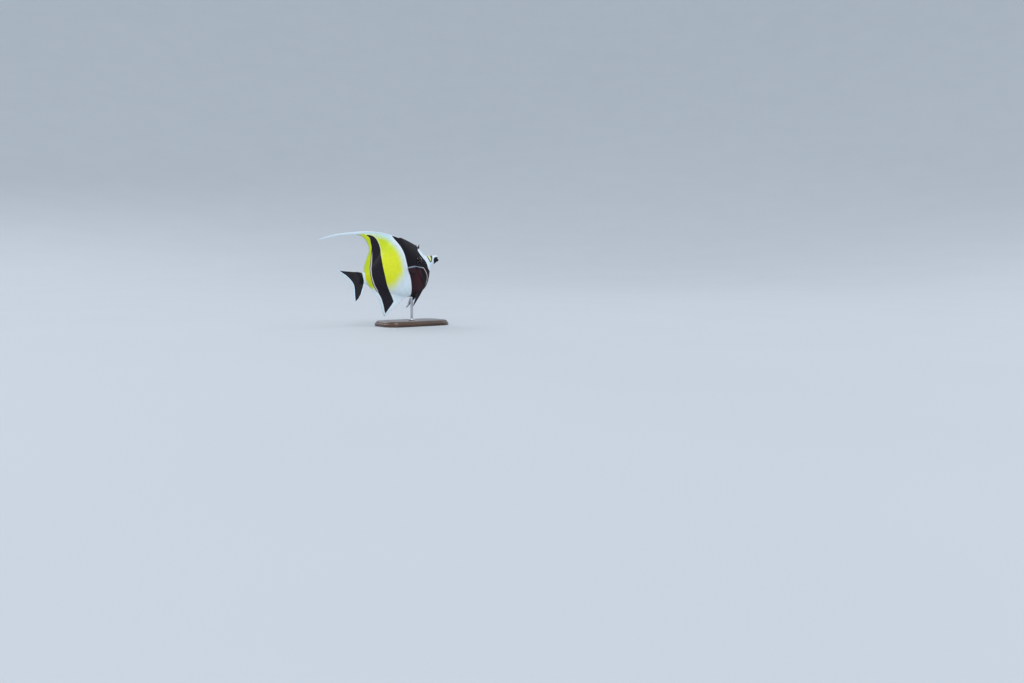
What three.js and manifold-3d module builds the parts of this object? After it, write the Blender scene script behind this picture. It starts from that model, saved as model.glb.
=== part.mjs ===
// A moorish idol at life size, swimming nose-up on one rod over a plain base.
// Millimetres, +Z up. The fish heads along +X with its left flank on +Y, and the origin
// is the centre of the underside of the base.
// The fish is laid out in its own frame: "u" is the distance behind the tip of the snout
// and "z" the height over the line from the snout to the middle of the tail base.
import * as THREE from "three";
import { mergeVertices } from "three/addons/utils/BufferGeometryUtils.js";
import Module from "manifold-3d";

const wasm = await Module();
wasm.setup();

// Driving dimensions
const NOSE_UP = THREE.MathUtils.degToRad(13);
const GAP = 0.3;
const MERGE_DISTANCE = 1e-4;
const BODY_LENGTH = 150;
const SNOUT_START = 1.2;
const SNOUT_END = 15.5;
const GILL_LINE = 51;
const TAIL_STEM_START = 137;

// Each length of the body: its sections along the way, and the steps from back to belly.
const SNOUT_GRID = [6, 14];
const HEAD_GRID = [18, 24];
const TORSO_GRID = [24, 22];
const TAIL_STEM_GRID = [4, 16];

const BACK = smoothLine([
  [0, 5.6], [8, 7.9], [16, 9.4], [22, 10.5], [26, 12.8], [30, 18.6], [33.5, 25.2], [37.5, 31.4],
  [47, 39.4], [57, 46.6], [66, 51.6], [75, 52.2], [88, 48.0], [102, 40.2], [116, 30.0],
  [129, 19.4], [138, 12.6], [144, 10.4], [150, 9.8],
]);
const BELLY = smoothLine([
  [0, -2.6], [8, -6.2], [14, -8.2], [19.2, -12.0], [23, -19.0], [26.5, -28.0], [31, -36.2],
  [38, -43.2], [47, -47.6], [58, -50.1], [70, -50.7], [80, -49.4], [92, -44.6], [105, -37.2],
  [118, -28.4], [130, -19.4], [138, -13.2], [144, -10.6], [150, -9.7],
]);
const HALF_WIDTH = smoothLine([
  [0, 2.4], [5, 3.6], [12, 4.4], [20, 6.0], [28, 8.4], [38, 10.8], [48, 12.4], [60, 13.1],
  [76, 12.6], [92, 11.0], [108, 8.9], [122, 6.8], [134, 5.0], [144, 3.8], [150, 3.1],
]);
const WIDEST_HEIGHT = smoothLine([
  [0, 1.6], [14, 0.6], [24, -4.0], [40, -5.0], [60, -3.0], [90, -1.0], [120, 0], [150, 0],
]);
const EDGE_POWER = smoothLine([[0, 0.5], [15, 0.52], [45, 0.66], [110, 0.66], [150, 0.56]]);
const OUTLINE_LIMIT = 80;
const OUTLINE_HALVINGS = 40;

// The gill opening is the line between the head and the trunk: it curves forward to the
// throat and to the nape, and the cover in front of it stands over the trunk.
const GILL_HEIGHT = -2;
const GILL_SPAN = 41;
const GILL_LEAN_DOWN = 14;
const GILL_LEAN_UP = 3;
const GILL_BEND_STARTS = 24;
const GILL_BEND_FADES = [55, 100];
const GILL_GAP = 0.4;
const GILL_COVER_STEP = 0.8;
const GILL_COVER_WIDTH = 7;
const GILL_OPENING_TOP = 15;
const GILL_OPENING_BOTTOM = -38;
const GILL_OPENING_FADE = 8;

const EYE = { u: 43.2, z: 7.4, radius: 6.0, depth: 3.7, sunk: 2.05 };
const EYE_SEGMENTS = 18;
const EYE_RINGS = 10;
const NOSTRILS = [{ u: 32.8, z: 14.6, radius: 0.75 }, { u: 30.6, z: 13.4, radius: 0.6 }];
const NOSTRIL_SEGMENTS = 8;
const NOSTRIL_RINGS = 6;
const HORN = { u: 37.2, z: 26.6, length: 10.2, sunk: 2.4, radius: 1.9, forward: 0.46, out: 0.12 };
const HORN_SIDES = 8;
const HORN_RINGS = 2;
const UPPER_LIP = { u: 2.6, z: 4.9, long: 2.8, wide: 3.0, high: 2.3 };
const LOWER_LIP = { u: 3.0, z: -2.2, long: 3.2, wide: 2.9, high: 2.5 };
const LIP_SEGMENTS = 14;
const LIP_RINGS = 10;
const MOUTH = { height: 1.3, open: 0.55, depth: 5.2, pitch: 0.12, width: 20, sides: 3 };

const SINK = 3;
const WEB = 0.3;
const WEB_SHEATH = 1.15;
const SHEATH_REACH = 5.5;
const RIM_NOTCH = 0.35;
const RIDGE_TAPER = 0.5;
const LIFT_FADE = 1.5;

const DORSAL = {
  rays: 32, rows: 6, ridge: 0.3,
  front: 64, rear: 142.5,
  rim: [
    [144.8, 75.1], [143.6, 72.6], [136.4, 68.6], [130.9, 61], [127.8, 52], [128.5, 43.6],
    [132.5, 35.9], [138, 28.7], [142.7, 21.3], [145.9, 12.8],
  ],
  lift: [-8.7, 9.4],
};
const ANAL = {
  rays: 26, rows: 6, ridge: 0.3,
  front: 74, rear: 142.5,
  rim: [
    [126.6, -70.9], [128.4, -66.4], [128.8, -61], [128.7, -54.7], [128.9, -47.5],
    [130.6, -39], [134.5, -29.4], [139.7, -19.7], [144.8, -11.9],
  ],
  lift: [0.2, -0.6],
};
const TAIL_FIN = {
  rays: 17, rows: 6, ridge: 0.3,
  rootHeight: 7.4,
  rim: [
    [35.2, 28.2], [27.4, 15.8], [22.8, 6.6], [21.3, -2.2], [23.2, -11], [27.6, -22],
    [31.2, -31.5],
  ],
  liftTop: [-0.6, 2.4], liftBottom: [-1.5, -6],
  twist: THREE.MathUtils.degToRad(26), twistReach: 12,
  droop: 3, droopReach: 30,
};
const PECTORAL = {
  rays: 12, rows: 5, ridge: 0.22,
  root: [[52.4, -1.2], [53.8, -8.4]],
  rim: [[70.8, 1.2], [71.4, -2.4], [69.2, -7.4], [65.4, -11.0], [60.8, -12.6], [57, -11.8]],
  sunk: 2.4, standoff: 1.0, lean: 0.1, rootLength: 4,
};
const PELVIC = {
  rays: 6, rows: 6, ridge: 0.3,
  front: 41, rear: 57, rootOffset: 2.2, splay: 6.6, sheath: 0.1,
  rim: [[76.6, -69.4], [77.2, -67.2], [73, -63.4], [70, -59], [67, -54.8]],
  lift: [-0.6, -1.4],
};

// The streamer is the long third spine: its upper edge, and its depth along the way.
const STREAMER_TOP = smoothLine([
  [145, 77.4], [163, 79.5], [181, 80.6], [199, 79.9], [211.2, 78.7],
]);
const STREAMER_DEPTH = smoothLine([[145, 4.6], [163, 3.6], [181, 2.9], [199, 2.0], [211.2, 0.9]]);
const STREAMER_FLATNESS = 0.5;
const STREAMER_CUTS = [145.3, 167.5, 190, 211.2];
const STREAMER_NAMES = ["dorsal_streamer_front", "dorsal_streamer_middle", "dorsal_streamer_tip"];
const STREAMER_STEP = 4.5;
const STREAMER_SIDES = 10;
const LEADING_SPINE = { from: 0.02, to: 1, startHalf: 0.8, thick: 0.7, steps: 11 };
const SHORT_SPINES = [{ root: 61, reach: 0.12 }, { root: 65, reach: 0.2 }];
const SHORT_SPINE = { half: 0.9, tipHalf: 0.15, thick: 0.7, proud: 0.9, steps: 3 };

const CLEARANCE_OVER_BASE = 8;
const BASE = { length: 124, width: 74, height: 9, corner: 24, cornerSteps: 8, bevel: 1.5 };
const BASE_BEVEL_STEPS = 2;
const ROD = { u: 67, radius: 2.3, collarRadius: 6, collarHeight: 3, chamfer: 0.8, sides: 24 };
const ROD_REACH_IN = 4;
const LOWEST_POINT = { u: 126.6, z: -70.9 };

const MATERIALS = {
  black_skin: { color: 0x1d191c, roughness: 0.5, metalness: 0 },
  yellow_skin: { color: 0xd2dc3c, roughness: 0.5, metalness: 0 },
  white_skin: { color: 0xe6eef2, roughness: 0.45, metalness: 0 },
  eye: { color: 0x2a1a12, roughness: 0.08, metalness: 0 },
  wood: { color: 0x5b3a24, roughness: 0.4, metalness: 0 },
  steel: { color: 0xb9bcc0, roughness: 0.3, metalness: 1 },
};

function smoothLine(points) {
  const last = points.length - 1;
  const rise = (i) => (points[i + 1][1] - points[i][1]) / (points[i + 1][0] - points[i][0]);
  const slope = (i) => {
    if (i === 0) return rise(0);
    if (i === last) return rise(last - 1);
    const before = rise(i - 1);
    const after = rise(i);
    return before * after <= 0 ? 0 : (2 * before * after) / (before + after);
  };
  return (at) => {
    const x = THREE.MathUtils.clamp(at, points[0][0], points[last][0]);
    let i = 0;
    while (i < last - 1 && x > points[i + 1][0]) i += 1;
    const span = points[i + 1][0] - points[i][0];
    const t = (x - points[i][0]) / span;
    const startPull = slope(i) * span * t * (1 - t) ** 2;
    const endPull = slope(i + 1) * span * t * t * (1 - t);
    const blend = t * t * (3 - 2 * t);
    return points[i][1] * (1 - blend) + points[i + 1][1] * blend + startPull - endPull;
  };
}

function curveThrough(points) {
  return new THREE.SplineCurve(points.map(([u, z]) => new THREE.Vector2(u, z)));
}

function flank(u, z) {
  const widest = WIDEST_HEIGHT(u);
  const reach = z > widest ? (z - widest) / (BACK(u) - widest) : (widest - z) / (widest - BELLY(u));
  if (reach >= 1) return 0;
  return HALF_WIDTH(u) * (1 - reach * reach) ** EDGE_POWER(u);
}

// A station bends with the gill opening where it is near it.
function stationDistance(station, z) {
  const near =
    THREE.MathUtils.smoothstep(station, GILL_BEND_STARTS, GILL_LINE) *
    (1 - THREE.MathUtils.smoothstep(station, ...GILL_BEND_FADES));
  const away = (z - GILL_HEIGHT) / GILL_SPAN;
  const lean = away > 0 ? GILL_LEAN_UP : GILL_LEAN_DOWN;
  return station - near * lean * away * away;
}

function gillCoverRelief(station, z) {
  const along = THREE.MathUtils.smoothstep(station, GILL_LINE - GILL_COVER_WIDTH, GILL_LINE);
  const [top, bottom, fade] = [GILL_OPENING_TOP, GILL_OPENING_BOTTOM, GILL_OPENING_FADE];
  const above = 1 - THREE.MathUtils.smoothstep(z, top - fade, top);
  const below = THREE.MathUtils.smoothstep(z, bottom, bottom + fade);
  return GILL_COVER_STEP * along * above * below;
}

function outlineHeight(station, edge, inside) {
  let within = inside;
  let beyond = edge === BACK ? OUTLINE_LIMIT : -OUTLINE_LIMIT;
  for (let step = 0; step < OUTLINE_HALVINGS; step += 1) {
    const middle = (within + beyond) / 2;
    const line = edge(stationDistance(station, middle));
    const isInside = edge === BACK ? middle < line : middle > line;
    if (isInside) within = middle;
    else beyond = middle;
  }
  return within;
}

// One closed length of the body, from one station to another, with flat ends.
function bodyLength(from, to, [columns, rows], relief = () => 0) {
  const positions = [];
  const faces = [];
  for (let i = 0; i <= columns; i += 1) {
    const station = from + ((to - from) * i) / columns;
    const widest = WIDEST_HEIGHT(station);
    const top = outlineHeight(station, BACK, widest);
    const bottom = outlineHeight(station, BELLY, widest);
    const ring = [];
    for (let j = 0; j <= rows; j += 1) {
      const swing = Math.cos((Math.PI * j) / rows);
      const z = swing > 0 ? widest + (top - widest) * swing : widest + (widest - bottom) * swing;
      const u = stationDistance(station, z);
      const half = j === 0 || j === rows ? 0 : flank(u, z) + relief(station, z);
      ring.push([u, half, z]);
    }
    ring.forEach(([u, half, z]) => positions.push(-u, half, z));
    ring.slice(1, -1).reverse().forEach(([u, half, z]) => positions.push(-u, -half, z));
  }
  const around = 2 * rows;
  for (let i = 0; i < columns; i += 1) {
    for (let k = 0; k < around; k += 1) {
      const a = i * around + k;
      const b = i * around + ((k + 1) % around);
      faces.push(a, b, b + around, a, b + around, a + around);
    }
  }
  for (const start of [0, columns * around]) {
    const turn = start === 0 ? 1 : -1;
    for (let j = 0; j < rows; j += 1) {
      const a = start + j;
      const b = start + j + 1;
      const c = start + ((around - j - 1) % around);
      const d = start + ((around - j) % around);
      pushTurned(faces, turn, a, d, c);
      pushTurned(faces, turn, a, c, b);
    }
  }
  return closedGeometry(positions, faces);
}

function pushTurned(faces, turn, a, b, c) {
  if (a === b || b === c || a === c) return;
  if (turn > 0) faces.push(a, b, c);
  else faces.push(a, c, b);
}

function closedGeometry(positions, faces) {
  const geometry = new THREE.BufferGeometry();
  geometry.setAttribute("position", new THREE.Float32BufferAttribute(positions, 3));
  geometry.setIndex(faces);
  if (signedVolume(geometry) < 0) {
    for (let i = 0; i < faces.length; i += 3) [faces[i], faces[i + 1]] = [faces[i + 1], faces[i]];
    geometry.setIndex(faces);
  }
  return geometry;
}

function signedVolume(geometry) {
  const place = geometry.getAttribute("position");
  const index = geometry.getIndex();
  const [a, b, c] = [new THREE.Vector3(), new THREE.Vector3(), new THREE.Vector3()];
  let sum = 0;
  for (let i = 0; i < index.count; i += 3) {
    a.fromBufferAttribute(place, index.getX(i));
    b.fromBufferAttribute(place, index.getX(i + 1));
    c.fromBufferAttribute(place, index.getX(i + 2));
    sum += a.dot(b.cross(c));
  }
  return sum / 6;
}

function grown(geometry, distance) {
  const larger = geometry.clone();
  larger.computeVertexNormals();
  const place = larger.getAttribute("position");
  const normal = larger.getAttribute("normal");
  for (let i = 0; i < place.count; i += 1) {
    place.setXYZ(
      i,
      place.getX(i) + normal.getX(i) * distance,
      place.getY(i) + normal.getY(i) * distance,
      place.getZ(i) + normal.getZ(i) * distance,
    );
  }
  larger.deleteAttribute("normal");
  return larger;
}

function toSolid(geometry) {
  const bare = geometry.clone();
  bare.deleteAttribute("normal");
  bare.deleteAttribute("uv");
  const merged = mergeVertices(bare, MERGE_DISTANCE);
  return new wasm.Manifold(
    new wasm.Mesh({
      numProp: 3,
      vertProperties: Float32Array.from(merged.getAttribute("position").array),
      triVerts: Uint32Array.from(merged.getIndex().array),
    }),
  );
}

// After a cut or a join only the largest closed surface is kept.
function toGeometry(solid) {
  const largest = solid.decompose().sort((a, b) => b.volume() - a.volume())[0];
  const mesh = largest.getMesh();
  const geometry = new THREE.BufferGeometry();
  geometry.setAttribute("position", new THREE.BufferAttribute(mesh.vertProperties, 3));
  geometry.setIndex(new THREE.BufferAttribute(mesh.triVerts, 1));
  return geometry;
}

function joined(geometries) {
  return geometries.map(toSolid).reduce((all, next) => all.add(next));
}

// A fin: rays stand as ridges on both faces of the web, and its outer margin is sharp.
function finGeometry({ rays, rows, ridge }, place, across, sheath) {
  const columns = 2 * rays - 2;
  const positions = [];
  const faces = [];
  const vertex = (i, j, side) => (i * rows + j) * 2 + side;
  const rimVertex = (i) => (columns + 1) * rows * 2 + i;
  for (let i = 0; i <= columns; i += 1) {
    const onRay = i % 2 === 0;
    for (let j = 0; j < rows; j += 1) {
      const middle = place(i / columns, j / rows, 0);
      const proud = onRay ? ridge * (1 - (RIDGE_TAPER * j) / rows) : 0;
      const half = WEB + sheath(i / columns, j / rows) + proud;
      const offset = across(i / columns, j / rows).multiplyScalar(half);
      positions.push(...middle.clone().add(offset).toArray(), ...middle.clone().sub(offset).toArray());
    }
  }
  for (let i = 0; i <= columns; i += 1) {
    const notch = i % 2 === 0 ? 0 : RIM_NOTCH;
    positions.push(...place(i / columns, 1, notch).toArray());
  }
  for (let i = 0; i < columns; i += 1) {
    for (let side = 0; side < 2; side += 1) {
      const turn = side === 0 ? 1 : -1;
      for (let j = 0; j < rows - 1; j += 1) {
        const a = vertex(i, j, side);
        const b = vertex(i + 1, j, side);
        const c = vertex(i + 1, j + 1, side);
        const d = vertex(i, j + 1, side);
        pushTurned(faces, turn, a, b, c);
        pushTurned(faces, turn, a, c, d);
      }
      const a = vertex(i, rows - 1, side);
      const b = vertex(i + 1, rows - 1, side);
      pushTurned(faces, turn, a, b, rimVertex(i + 1));
      pushTurned(faces, turn, a, rimVertex(i + 1), rimVertex(i));
    }
    pushTurned(faces, 1, vertex(i, 0, 1), vertex(i + 1, 0, 1), vertex(i + 1, 0, 0));
    pushTurned(faces, 1, vertex(i, 0, 1), vertex(i + 1, 0, 0), vertex(i, 0, 0));
  }
  for (const i of [0, columns]) {
    const turn = i === 0 ? 1 : -1;
    for (let j = 0; j < rows - 1; j += 1) {
      pushTurned(faces, turn, vertex(i, j, 1), vertex(i, j, 0), vertex(i, j + 1, 0));
      pushTurned(faces, turn, vertex(i, j, 1), vertex(i, j + 1, 0), vertex(i, j + 1, 1));
    }
    pushTurned(faces, turn, vertex(i, rows - 1, 1), vertex(i, rows - 1, 0), rimVertex(i));
  }
  return closedGeometry(positions, faces);
}

function bentRay(root, rim, lift, s) {
  const bend = root.clone().add(rim).multiplyScalar(0.5).add(lift);
  return new THREE.QuadraticBezierCurve(root, bend, rim).getPoint(s);
}

function pulledIn(rim, root, notch) {
  return rim.clone().add(root.clone().sub(rim).setLength(notch));
}

function sheathOver(distance) {
  return WEB_SHEATH * Math.exp(-Math.max(0, distance) / SHEATH_REACH);
}

// The dorsal and anal fins stand in the middle plane, on the line that "edge" gives.
function medianFin(fin, edge, inward) {
  const rimCurve = curveThrough(fin.rim);
  const liftFull = new THREE.Vector2(...fin.lift);
  const rootAt = (t) => {
    const u = THREE.MathUtils.lerp(fin.front, fin.rear, t);
    return new THREE.Vector2(u, edge(u) + inward * SINK);
  };
  const flat = (t, s, notch) => {
    const root = rootAt(t);
    const rim = pulledIn(rimCurve.getPointAt(t), root, notch);
    return bentRay(root, rim, liftFull.clone().multiplyScalar((1 - t) ** LIFT_FADE), s);
  };
  const place = (t, s, notch) => {
    const point = flat(t, s, notch);
    return new THREE.Vector3(-point.x, 0, point.y);
  };
  const across = () => new THREE.Vector3(0, 1, 0);
  const sheath = (t, s) => sheathOver(flat(t, s, 0).distanceTo(rootAt(t)) - SINK);
  return { geometry: finGeometry(fin, place, across, sheath), place };
}

function tailFin() {
  const fin = TAIL_FIN;
  const rimCurve = curveThrough(fin.rim);
  const flat = (t, s, notch) => {
    const root = new THREE.Vector2(-SINK, fin.rootHeight * (1 - 2 * t));
    const rim = pulledIn(rimCurve.getPointAt(t), root, notch);
    const full = new THREE.Vector2(...(t < 0.5 ? fin.liftTop : fin.liftBottom));
    return bentRay(root, rim, full.multiplyScalar(Math.abs(1 - 2 * t)), s);
  };
  const turn = (distance) => fin.twist * THREE.MathUtils.smoothstep(distance, -1, fin.twistReach);
  const place = (t, s, notch) => {
    const { x: distance, y: height } = flat(t, s, notch);
    const droop = fin.droop * THREE.MathUtils.smoothstep(distance, 0, fin.droopReach);
    const angle = turn(distance);
    return new THREE.Vector3(
      -(BODY_LENGTH + distance),
      height * Math.sin(angle),
      height * Math.cos(angle) - droop,
    );
  };
  const across = (t, s) => {
    const angle = turn(flat(t, s, 0).x);
    return new THREE.Vector3(0, Math.cos(angle), -Math.sin(angle));
  };
  return finGeometry(fin, place, across, (t, s) => sheathOver(flat(t, s, 0).x));
}

function pectoralFin(side) {
  const fin = PECTORAL;
  const rimCurve = curveThrough(fin.rim);
  const rootLine = fin.root.map(([u, z]) => new THREE.Vector2(u, z));
  const place = (t, s, notch) => {
    const root = rootLine[0].clone().lerp(rootLine[1], t);
    const rim = pulledIn(rimCurve.getPointAt(t), root, notch);
    const point = bentRay(root, rim, new THREE.Vector2(0, 0), s);
    const distance = point.distanceTo(root);
    const rising = Math.min(1, distance / fin.rootLength);
    const off = THREE.MathUtils.lerp(-fin.sunk, fin.standoff, rising) + fin.lean * distance;
    return new THREE.Vector3(-point.x, side * (flank(point.x, point.y) + off), point.y);
  };
  return finGeometry(fin, place, () => new THREE.Vector3(0, 1, 0), () => 0);
}

function pelvicFin(side) {
  const fin = PELVIC;
  const rimCurve = curveThrough(fin.rim);
  const lift = new THREE.Vector2(...fin.lift);
  const place = (t, s, notch) => {
    const u = THREE.MathUtils.lerp(fin.front, fin.rear, t);
    const root = new THREE.Vector2(u, BELLY(u) + SINK);
    const rim = pulledIn(rimCurve.getPointAt(t), root, notch);
    const point = bentRay(root, rim, lift.clone().multiplyScalar(1 - t), s);
    return new THREE.Vector3(-point.x, side * (fin.rootOffset + fin.splay * s), point.y);
  };
  return finGeometry(fin, place, () => new THREE.Vector3(0, 1, 0), () => fin.sheath);
}

// A tapering strand through sections given as centre, half depth and half thickness.
function strand(sections, sides) {
  const positions = [];
  const faces = [];
  sections.forEach(({ u, z, half, thick }) => {
    for (let k = 0; k < sides; k += 1) {
      const angle = (2 * Math.PI * k) / sides;
      positions.push(-u, thick * Math.sin(angle), z + half * Math.cos(angle));
    }
  });
  const last = (sections.length - 1) * sides;
  for (let ring = 0; ring < last; ring += sides) {
    for (let k = 0; k < sides; k += 1) {
      const next = (k + 1) % sides;
      faces.push(ring + k, ring + next, ring + sides + next);
      faces.push(ring + k, ring + sides + next, ring + sides + k);
    }
  }
  for (let k = 1; k < sides - 1; k += 1) {
    faces.push(0, k + 1, k, last, last + k, last + k + 1);
  }
  return closedGeometry(positions, faces);
}

function streamerSection(u) {
  const half = STREAMER_DEPTH(u) / 2;
  return { u, z: STREAMER_TOP(u) - half, half, thick: half * STREAMER_FLATNESS };
}

function streamerPiece(from, to) {
  const steps = Math.ceil((to - from) / STREAMER_STEP);
  const sections = [];
  for (let i = 0; i <= steps; i += 1) {
    sections.push(streamerSection(THREE.MathUtils.lerp(from, to, i / steps)));
  }
  return strand(sections, STREAMER_SIDES);
}

// The third spine stiffens the leading edge of the dorsal fin and runs on as the streamer.
function leadingSpine(place) {
  const end = streamerSection(STREAMER_CUTS[0] - GAP);
  const sections = [];
  for (let i = 0; i <= LEADING_SPINE.steps; i += 1) {
    const s = THREE.MathUtils.lerp(LEADING_SPINE.from, LEADING_SPINE.to, i / LEADING_SPINE.steps);
    const point = place(0, s, 0);
    const half = THREE.MathUtils.lerp(LEADING_SPINE.startHalf, end.half, s * s);
    const thick = Math.max(half * STREAMER_FLATNESS, LEADING_SPINE.thick);
    sections.push({ u: -point.x, z: point.z, half, thick });
  }
  sections[sections.length - 1] = end;
  return strand(sections, STREAMER_SIDES);
}

// The first two spines of the dorsal fin are short and lie along its leading edge.
function shortSpine(place, { root, reach }) {
  const { half, tipHalf, thick, proud, steps } = SHORT_SPINE;
  const tip = place(0, reach, 0);
  const sections = [];
  for (let i = 0; i <= steps; i += 1) {
    const t = i / steps;
    sections.push({
      u: THREE.MathUtils.lerp(root, -tip.x, t),
      z: THREE.MathUtils.lerp(BACK(root) - SINK, tip.z + proud, t),
      half: THREE.MathUtils.lerp(half, tipHalf, t * t),
      thick: THREE.MathUtils.lerp(thick, tipHalf, t * t),
    });
  }
  return strand(sections, STREAMER_SIDES);
}

function ball(radius, long, wide, high, segments, rings) {
  return new THREE.SphereGeometry(radius, segments, rings).scale(long, wide, high);
}

function eyeball(side, extra) {
  const { u, z, radius, depth, sunk } = EYE;
  const wide = (depth + extra) / (radius + extra);
  const middle = side * (flank(u, z) - sunk);
  return new THREE.SphereGeometry(radius + extra, EYE_SEGMENTS, EYE_RINGS)
    .rotateX(Math.PI / 2)
    .scale(1, wide, 1)
    .translate(-u, middle, z);
}

function horn(side) {
  const { u, z, length, sunk, radius, forward, out } = HORN;
  const direction = new THREE.Vector3(forward, side * out, 1).normalize();
  const turn = new THREE.Quaternion().setFromUnitVectors(new THREE.Vector3(0, 1, 0), direction);
  const root = new THREE.Vector3(-u, side * flank(u, z), z).addScaledVector(direction, -sunk);
  const middle = root.addScaledVector(direction, length / 2);
  return new THREE.ConeGeometry(radius, length, HORN_SIDES, HORN_RINGS)
    .applyQuaternion(turn)
    .translate(middle.x, middle.y, middle.z);
}

function lip({ u, z, long, wide, high }) {
  return ball(1, long, wide, high, LIP_SEGMENTS, LIP_RINGS).translate(-u, 0, z);
}

function snoutGeometry() {
  const tube = bodyLength(SNOUT_START, SNOUT_END - GAP, SNOUT_GRID);
  const whole = joined([tube, lip(UPPER_LIP), lip(LOWER_LIP)]);
  const { height, open, depth, pitch, width, sides } = MOUTH;
  const wedge = new THREE.CylinderGeometry(depth, depth, width, sides)
    .rotateY(Math.PI / 2)
    .scale(1, 1, open / depth)
    .rotateY(pitch)
    .translate(-depth / 2, 0, height);
  return toGeometry(whole.subtract(toSolid(wedge)));
}

function headGeometry(skull) {
  const cuts = [];
  for (const side of [-1, 1]) {
    cuts.push(eyeball(side, GAP));
    for (const { u, z, radius } of NOSTRILS) {
      const hollow = ball(radius, 1, 1, 1, NOSTRIL_SEGMENTS, NOSTRIL_RINGS);
      cuts.push(hollow.translate(-u, side * flank(u, z), z));
    }
  }
  return toGeometry(cuts.map(toSolid).reduce((rest, cut) => rest.subtract(cut), toSolid(skull)));
}

function baseGeometry() {
  const { length, width, height, corner, cornerSteps, bevel } = BASE;
  const [x, y, r] = [length / 2 - bevel, width / 2 - bevel, corner - bevel];
  const outline = new THREE.Shape();
  outline.absarc(x - r, y - r, r, 0, Math.PI / 2);
  outline.absarc(-x + r, y - r, r, Math.PI / 2, Math.PI);
  outline.absarc(-x + r, -y + r, r, Math.PI, 1.5 * Math.PI);
  outline.absarc(x - r, -y + r, r, 1.5 * Math.PI, 2 * Math.PI);
  return new THREE.ExtrudeGeometry(outline, {
    depth: height - 2 * bevel,
    bevelEnabled: true,
    bevelThickness: bevel,
    bevelSize: bevel,
    bevelSegments: BASE_BEVEL_STEPS,
    curveSegments: cornerSteps,
  }).translate(0, 0, bevel);
}

function rodGeometry(foot, top) {
  const { radius, collarRadius, collarHeight, chamfer, sides } = ROD;
  const profile = [
    [0, foot], [collarRadius, foot], [collarRadius, foot + collarHeight - chamfer],
    [collarRadius - chamfer, foot + collarHeight], [radius, foot + collarHeight], [radius, top],
    [0, top],
  ].map(([r, height]) => new THREE.Vector2(r, height));
  return new THREE.LatheGeometry(profile, sides).rotateX(Math.PI / 2);
}

function addMesh(parent, name, geometry, look) {
  const material = new THREE.MeshStandardMaterial(MATERIALS[look]);
  const mesh = new THREE.Mesh(geometry, material);
  mesh.name = name;
  parent.add(mesh);
}

// The fish hangs so that the lowest fin tip clears the base, with the rod over the origin.
const fish = new THREE.Group();
fish.rotation.y = -NOSE_UP;
fish.updateMatrix();
const lowest = new THREE.Vector3(-LOWEST_POINT.u, 0, LOWEST_POINT.z).applyMatrix4(fish.matrix);
const held = new THREE.Vector3(-ROD.u, 0, BELLY(ROD.u)).applyMatrix4(fish.matrix);
fish.position.set(-held.x, 0, BASE.height + CLEARANCE_OVER_BASE - lowest.z);
fish.updateMatrix();

const skull = bodyLength(SNOUT_END, GILL_LINE, HEAD_GRID, gillCoverRelief);
const trunk = bodyLength(GILL_LINE + GILL_GAP, TAIL_STEM_START, TORSO_GRID);
const stem = bodyLength(TAIL_STEM_START + GAP, BODY_LENGTH, TAIL_STEM_GRID);
const clearance = joined([skull, trunk, stem].map((piece) => grown(piece, GAP)));
const against = (geometry) => toGeometry(toSolid(geometry).subtract(clearance));

addMesh(fish, "snout", snoutGeometry(), "white_skin");
addMesh(fish, "head", headGeometry(skull), "black_skin");
addMesh(fish, "torso", trunk, "yellow_skin");
addMesh(fish, "tail_stem", stem, "yellow_skin");

const dorsal = medianFin(DORSAL, BACK, -1);
const dorsalWhole = joined([
  dorsal.geometry,
  leadingSpine(dorsal.place),
  ...SHORT_SPINES.map((spine) => shortSpine(dorsal.place, spine)),
]);
addMesh(fish, "dorsal_fin", toGeometry(dorsalWhole.subtract(clearance)), "yellow_skin");
STREAMER_NAMES.forEach((name, i) => {
  const last = i === STREAMER_NAMES.length - 1;
  const end = STREAMER_CUTS[i + 1] - (last ? 0 : GAP);
  addMesh(fish, name, streamerPiece(STREAMER_CUTS[i], end), "white_skin");
});
addMesh(fish, "anal_fin", against(medianFin(ANAL, BELLY, 1).geometry), "yellow_skin");
addMesh(fish, "tail_fin", against(tailFin()), "black_skin");
for (const [side, word] of [[1, "left"], [-1, "right"]]) {
  addMesh(fish, `pectoral_fin_${word}`, against(pectoralFin(side)), "black_skin");
  addMesh(fish, `pelvic_fin_${word}`, against(pelvicFin(side)), "black_skin");
  addMesh(fish, `eye_${word}`, eyeball(side, 0), "eye");
  addMesh(fish, `horn_${word}`, against(horn(side)), "black_skin");
}

const group = new THREE.Group();
group.add(fish);
addMesh(group, "stand_base", baseGeometry(), "wood");
const rodTop = fish.position.z + held.z + ROD.radius + ROD_REACH_IN;
const rod = toSolid(rodGeometry(BASE.height + GAP, rodTop));
const hungClearance = joined(
  [skull, trunk, stem].map((piece) => grown(piece, GAP).applyMatrix4(fish.matrix)),
);
addMesh(group, "stand_rod", toGeometry(rod.subtract(hungClearance)), "steel");

export default group;
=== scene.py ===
"""The looks of the moorish idol: one skin over the whole body, fins with branching rays,
wet eyes, horns and the display stand, with the camera and soft studio light.

The fish is laid out in millimetres: u is the distance behind the tip of the snout, y the
distance to its left, z the height over the line from the snout to the tail base.
"""

import math

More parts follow.
